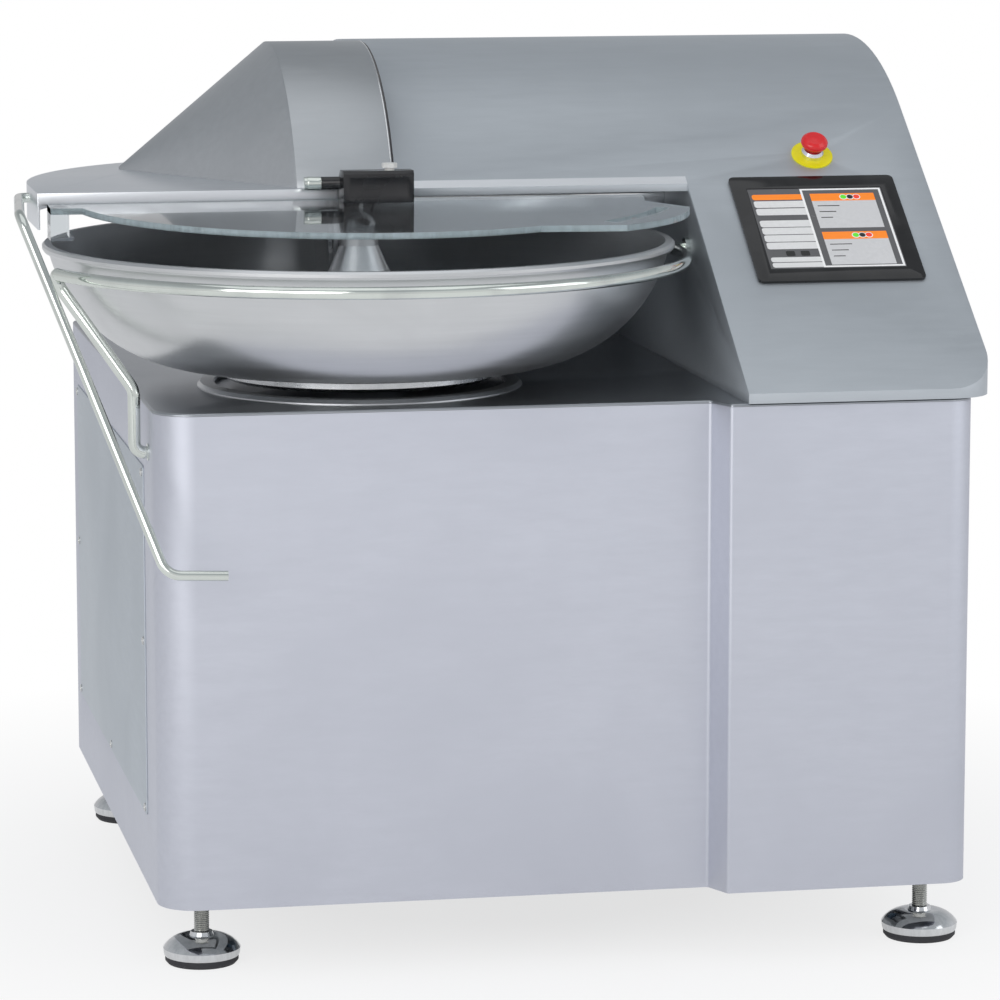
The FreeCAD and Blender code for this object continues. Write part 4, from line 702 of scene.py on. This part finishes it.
def roof_seam():
    """Seam over the rear cover, where the housing's curved roof meets its back."""
    half, under, proud = 6, -1.6, 0.15
    strip = settle(tile(BRIDGE_LEFT, -half, BRIDGE_RIGHT, half, under, proud))
    height = math.radians(12.6)
    outward = ROOF_RADIUS * Vector((0.0, math.cos(height), math.sin(height)))
    strip.data.transform(Matrix.Rotation(height - math.radians(90), 4, "X"))
    strip.data.transform(Matrix.Translation(BOWL + ROOF_AXIS + outward))
    finish_piece(strip, "roof_seam", "machine_base", HOUSING_STEEL)


def drum_ring(name, x, radius, thickness, material):
    """Thin ring round the hood's drum, above the hood's plate."""
    let_go()
    bpy.ops.mesh.primitive_torus_add(major_segments=120, minor_segments=10, major_radius=radius,
                                     minor_radius=thickness)
    piece = settle(bpy.context.active_object)
    piece.data.transform(Matrix.Rotation(math.radians(90), 4, "Y"))
    piece.data.transform(Matrix.Translation(BOWL + DRUM_AXIS + Vector((x, 0.0, 0.0))))
    pick(piece, lambda centre, normal: centre.z < BOWL.z + DRUM_FOOT)
    bpy.ops.mesh.delete(type="FACE")
    bpy.ops.mesh.select_all(action="SELECT")
    bpy.ops.mesh.fill_holes(sides=0)
    bpy.ops.mesh.normals_make_consistent(inside=False)
    bpy.ops.object.mode_set(mode="OBJECT")
    bpy.ops.object.shade_smooth_by_angle(angle=math.radians(40))
    finish_piece(piece, name, "hood", material)


# Small fasteners and threads
def screw_head(radius, depth, place, axis):
    """Low domed head with a drive recess, standing on its face along an axis."""
    let_go()
    bpy.ops.mesh.primitive_cylinder_add(vertices=24, radius=radius, depth=depth,
                                        location=(0, 0, depth / 2))
    piece = settle(bpy.context.active_object)
    pick(piece, lambda centre, normal: normal.z > 0.9)
    bpy.ops.mesh.inset(thickness=radius * 0.22, depth=0.0)
    bpy.ops.transform.translate(value=(0, 0, depth * 0.22))
    bpy.ops.mesh.inset(thickness=radius * 0.26, depth=0.0)
    bpy.ops.mesh.inset(thickness=radius * 0.03, depth=-depth * 0.5)
    bpy.ops.object.mode_set(mode="OBJECT")
    bpy.ops.object.shade_smooth_by_angle(angle=math.radians(35))
    piece.data.transform(Vector((0, 0, 1)).rotation_difference(Vector(axis)).to_matrix().to_4x4())
    piece.data.transform(Matrix.Translation(Vector(place)))
    return piece


def cover_screw_heads():
    """Heads round the edge of the left inspection cover, measured from the bowl."""
    radius, depth = 0.0055, 0.0018
    left, front, back, low, high = -0.300, -0.101, 0.703, 0.174, 0.613
    halfway, midheight = (front + back) / 2, (low + high) / 2
    heads = []
    for y, z in ((front, low), (front, midheight), (front, high), (halfway, low),
                 (halfway, high), (back, low), (back, midheight), (back, high)):
        heads.append(screw_head(radius, depth, BOWL + Vector((left, y, z)), (-1, 0, 0)))
    piece = join_pieces(heads, "cover_screw_heads", "machine_base", ZINC)
    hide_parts("cover_screws")


def stud_threads():
    """Screwed studs of the feet, ridge over ridge, each with its lock nut under the frame."""
    pitch, turns, low, root_radius, crest = 0.0025, 47, 0.013, 0.0090, 1.111
    nut_low, nut_high, nut_radius = 0.081, 0.090, 0.01732
    studs = []
    for x, y in FEET:
        let_go()
        middle = low + pitch / 2
        bpy.ops.mesh.primitive_cylinder_add(vertices=32, radius=root_radius, depth=pitch,
                                            end_fill_type="NOTHING", location=(x, y, middle))
        ridge = settle(bpy.context.active_object)
        pick(ridge, lambda a, b: abs(a.z - b.z) > pitch / 2, "EDGE")
        bpy.ops.mesh.subdivide(number_cuts=1)
        bpy.ops.object.mode_set(mode="OBJECT")
        pick(ridge, lambda corner: abs(corner.z - middle) < pitch / 25, "VERT")
        bpy.ops.transform.resize(value=(crest, crest, 1.0), center_override=(x, y, middle))
        bpy.ops.object.mode_set(mode="OBJECT")
        take(ridge)
        rows = ridge.modifiers.new("rows", "ARRAY")
        rows.use_relative_offset = False
        rows.use_constant_offset = True
        rows.constant_offset_displace = (0, 0, pitch)
        rows.count = turns
        rows.use_merge_vertices = True
        bpy.ops.object.modifier_apply(modifier=rows.name)
        bpy.ops.object.mode_set(mode="EDIT")
        bpy.ops.mesh.select_all(action="SELECT")
        bpy.ops.mesh.remove_doubles(threshold=0.00001)
        bpy.ops.mesh.select_all(action="DESELECT")
        bpy.ops.mesh.select_non_manifold()
        bpy.ops.mesh.edge_face_add()
        bpy.ops.mesh.select_all(action="SELECT")
        bpy.ops.mesh.normals_make_consistent(inside=False)
        bpy.ops.object.mode_set(mode="OBJECT")
        bpy.ops.object.shade_smooth_by_angle(angle=math.radians(20))
        studs.append(ridge)
        let_go()
        bpy.ops.mesh.primitive_cylinder_add(vertices=6, radius=nut_radius, depth=nut_high - nut_low,
                                            location=(x, y, (nut_low + nut_high) / 2))
        nut = settle(bpy.context.active_object)
        studs.append(round_edges(nut, 0.0012, 2))
    piece = join_pieces(studs, "foot_stud_threads", "machine_base", ZINC)
    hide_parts("foot_studs")


# Lid
def lid_edge_lines():
    """The sawn edge of the clear sheet, which shows as a pale band in the glass."""
    piece = copy_of("lid_sheet", "lid_edge")
    bpy.ops.object.mode_set(mode="OBJECT")
    pick(piece, lambda centre, normal: abs(normal.z) > 0.5)
    bpy.ops.mesh.delete(type="FACE")
    bpy.ops.object.mode_set(mode="OBJECT")
    wall = piece.modifiers.new("wall", "SOLIDIFY")
    wall.thickness = 0.0006
    wall.offset = -1.0
    take(piece)
    bpy.ops.object.modifier_apply(modifier=wall.name)
    finish_piece(piece, "lid_edge", "lid", EDGE)


look_at_machine()
studio_lamps()
studio_world()

GRAIN = brush_grain()
SPUN = spun_position()
MARKS = handling_marks()
WEAR = edge_wear()
DUST = settled_dust()

# How far the grain is drawn out along each axis
ACROSS = (0.15, 1.0, 1.0)
EVEN = (1.0, 1.0, 1.0)
FRONT_STEEL = brushed_steel(
    "front_steel", (0.64, 0.655, 0.72), (0.68, 0.695, 0.76), 0.56, (0.2, 1.0, 1.0))
SIDE_STEEL = brushed_steel(
    "side_steel", (0.58, 0.62, 0.66), (0.62, 0.66, 0.70), 0.54, (1.0, 0.2, 1.0))
HOUSING_STEEL = brushed_steel(
    "housing_steel", (0.56, 0.595, 0.63), (0.60, 0.635, 0.67), 0.58, ACROSS)
HOOD_STEEL = brushed_steel("hood_steel", (0.48, 0.50, 0.52), (0.53, 0.55, 0.57), 0.42, ACROSS)
# Much brighter copy of the hood's brushed steel: a painted highlight, the white reflection along the
# hood's plate and lip painted into the colour.
LIP_HIGHLIGHT_STEEL = brushed_steel("hood_lip_painted_highlight", (0.84, 0.86, 0.89), (0.89, 0.91, 0.94), 0.36, ACROSS)
DECK_STEEL = brushed_steel("deck_steel", (0.40, 0.42, 0.45), (0.45, 0.47, 0.50), 0.33, ACROSS)
BOWL_STEEL = brushed_steel(
    "bowl_steel", (0.68, 0.69, 0.70), (0.73, 0.74, 0.75), 0.32, EVEN, marks=6.0, spun=True)
POLISHED = bright_metal(
    "polished_steel", (0.70, 0.71, 0.72), (0.84, 0.85, 0.86), 0.10, (1, 1, 0.3))
ROD = drawn_rod("plated_rod", (0.66, 0.69, 0.66), (0.78, 0.82, 0.77), 0.10)
GROUND = bright_metal("ground_blade", (0.70, 0.71, 0.72), (0.86, 0.87, 0.88), 0.16, (1, 0.05, 1))
TURNED = bright_metal("turned_steel", (0.55, 0.56, 0.57), (0.70, 0.71, 0.72), 0.24, (0.05, 1, 1))
ZINC = bright_metal("zinc_plated", (0.55, 0.55, 0.52), (0.70, 0.70, 0.67), 0.22, EVEN)
GEAR_STEEL = bright_metal("gear_steel", (0.38, 0.38, 0.37), (0.52, 0.52, 0.50), 0.30, EVEN)
CASTING = paint("casting_paint", (0.22, 0.26, 0.28), 0.5, peel=120.0)
FRAME_PAINT = paint("frame_paint", (0.30, 0.32, 0.34), 0.45)
MOTOR_PAINT = paint("motor_paint", (0.13, 0.20, 0.28), 0.42)
CLEAR = clear_sheet("clear_acrylic")
EDGE = milky_edge("sawn_acrylic_edge", (0.62, 0.71, 0.74))
BLACK = plastic("black_gloss_plastic", (0.012, 0.012, 0.014), 0.12)
BEZEL = plastic("black_glass_bezel", (0.004, 0.004, 0.005), 0.08, depth=0.0)
BLACK_MATT = plastic("black_matt_plastic", (0.03, 0.03, 0.032), 0.5)
WHITE = plastic("white_plastic", (0.84, 0.84, 0.82), 0.3)
RED = plastic("red_mushroom", (0.78, 0.015, 0.02), 0.16)
YELLOW = plastic("yellow_plate", (0.93, 0.86, 0.0), 0.34)
SILVER = bright_metal("silver_collar", (0.74, 0.74, 0.80), (0.90, 0.90, 0.94), 0.2, EVEN)
RUBBER = rubber("black_rubber", (0.030, 0.030, 0.034))
SCREEN = {
    "menu_grey": plastic("screen_grey", (0.09, 0.09, 0.095), 0.2, glow=0.25),
    "menu_pale": plastic("screen_pale", (0.72, 0.72, 0.72), 0.2, glow=0.15),
    "menu_orange": plastic("screen_orange", (0.95, 0.24, 0.01), 0.2, glow=0.25),
    "pane_white": plastic("screen_white", (0.88, 0.88, 0.88), 0.2, glow=0.15),
    "list_grey": plastic("screen_list", (0.62, 0.62, 0.63), 0.2, glow=0.12),
    "mark_green": plastic("screen_green", (0.12, 0.75, 0.02), 0.2, glow=0.25),
    "mark_black": plastic("screen_black", (0.012, 0.012, 0.012), 0.2),
    "mark_red": plastic("screen_red", (0.85, 0.05, 0.02), 0.2, glow=0.25),
}

studio_floor()

FINISHES = {
    "base_frame": FRAME_PAINT, "rear_panel": SIDE_STEEL, "cable_gland": BLACK_MATT, "foot_studs": ZINC,
    "foot_domes": POLISHED, "foot_pads": RUBBER, "deck_collar": BOWL_STEEL,
    "housing_rear_panel": SIDE_STEEL, "guard_rail": ROD, "rail_sockets": ROD,
    "bowl_bearing_housing": CASTING, "bowl_bearings": TURNED, "drive_plate": FRAME_PAINT,
    "bowl_gear_motor": MOTOR_PAINT, "shaft_tube": POLISHED, "shaft_seal": RUBBER,
    "bearing_block": CASTING, "shaft_bearings": TURNED, "bearing_pedestal": FRAME_PAINT,
    "drive_belt": RUBBER, "main_motor": MOTOR_PAINT, "switchgear_box": FRAME_PAINT,
    "hood_hinge_shaft": TURNED, "panel_screen": BEZEL, "panel_box": BLACK_MATT,
    "stop_plate": YELLOW, "stop_collar": SILVER, "bowl": BOWL_STEEL, "bowl_shaft": TURNED,
    "hub_cap": POLISHED, "bowl_gear": GEAR_STEEL, "drive_pinion": GEAR_STEEL, "knife_shaft": TURNED,
    "knife_pair_1": GROUND, "knife_pair_2": GROUND, "knife_pair_3": GROUND, "knife_spacers": TURNED,
    "knife_nut": POLISHED, "shaft_pulley": CASTING, "motor_shaft": TURNED, "motor_pulley": CASTING,
    "hood_lever": ROD, "lid_hinge_pin": ROD, "lid_sheet": CLEAR, "lid_side_clamp": CLEAR,
    "lid_button": WHITE, "stop_button": RED,
}
for node, finish in FINISHES.items():
    mesh = frame["nodes"][node].data
    mesh.materials.clear()
    mesh.materials.append(finish)

fold_edges("cabinet_shell", FRONT_STEEL, 0.0008)
fold_edges("inspection_cover", SIDE_STEEL, 0.0005)
fold_edges("deck_plate", DECK_STEEL, 0.0006)
fold_edges("control_housing", HOUSING_STEEL, 0.0012, angle=40.0)
# The hood's plate, lip included, takes the brightened steel: a painted highlight.
fold_edges("hood_plate", LIP_HIGHLIGHT_STEEL, 0.0008)
fold_edges("hood_ring", HOOD_STEEL, 0.0006, angle=40.0)
fold_edges("hood_cone", HOOD_STEEL, 0.0005, angle=40.0)
fold_edges("lid_block", BLACK, 0.0010)
fold_edges("panel_frame", BEZEL, 0.0006)
fold_edges("hood_hinge_bracket", HOOD_STEEL, 0.0008)
fold_edges("lid_hinge_bracket", ROD, 0.0010)
bridge_edge_highlight()
roof_seam()
drum_ring("drum_edge", 0.0452, 0.2814, 0.0016, POLISHED)
# Black ring in the gap beside the hood's drum: a painted shadow, a dark ring laid where the gap only
# shades.
drum_ring("drum_gap_painted_shadow", 0.0478, 0.2800, 0.0018, RUBBER)
screen_layout()
cover_screw_heads()
stud_threads()
lid_edge_lines()

scene = bpy.context.scene
scene.view_settings.view_transform = "Standard"
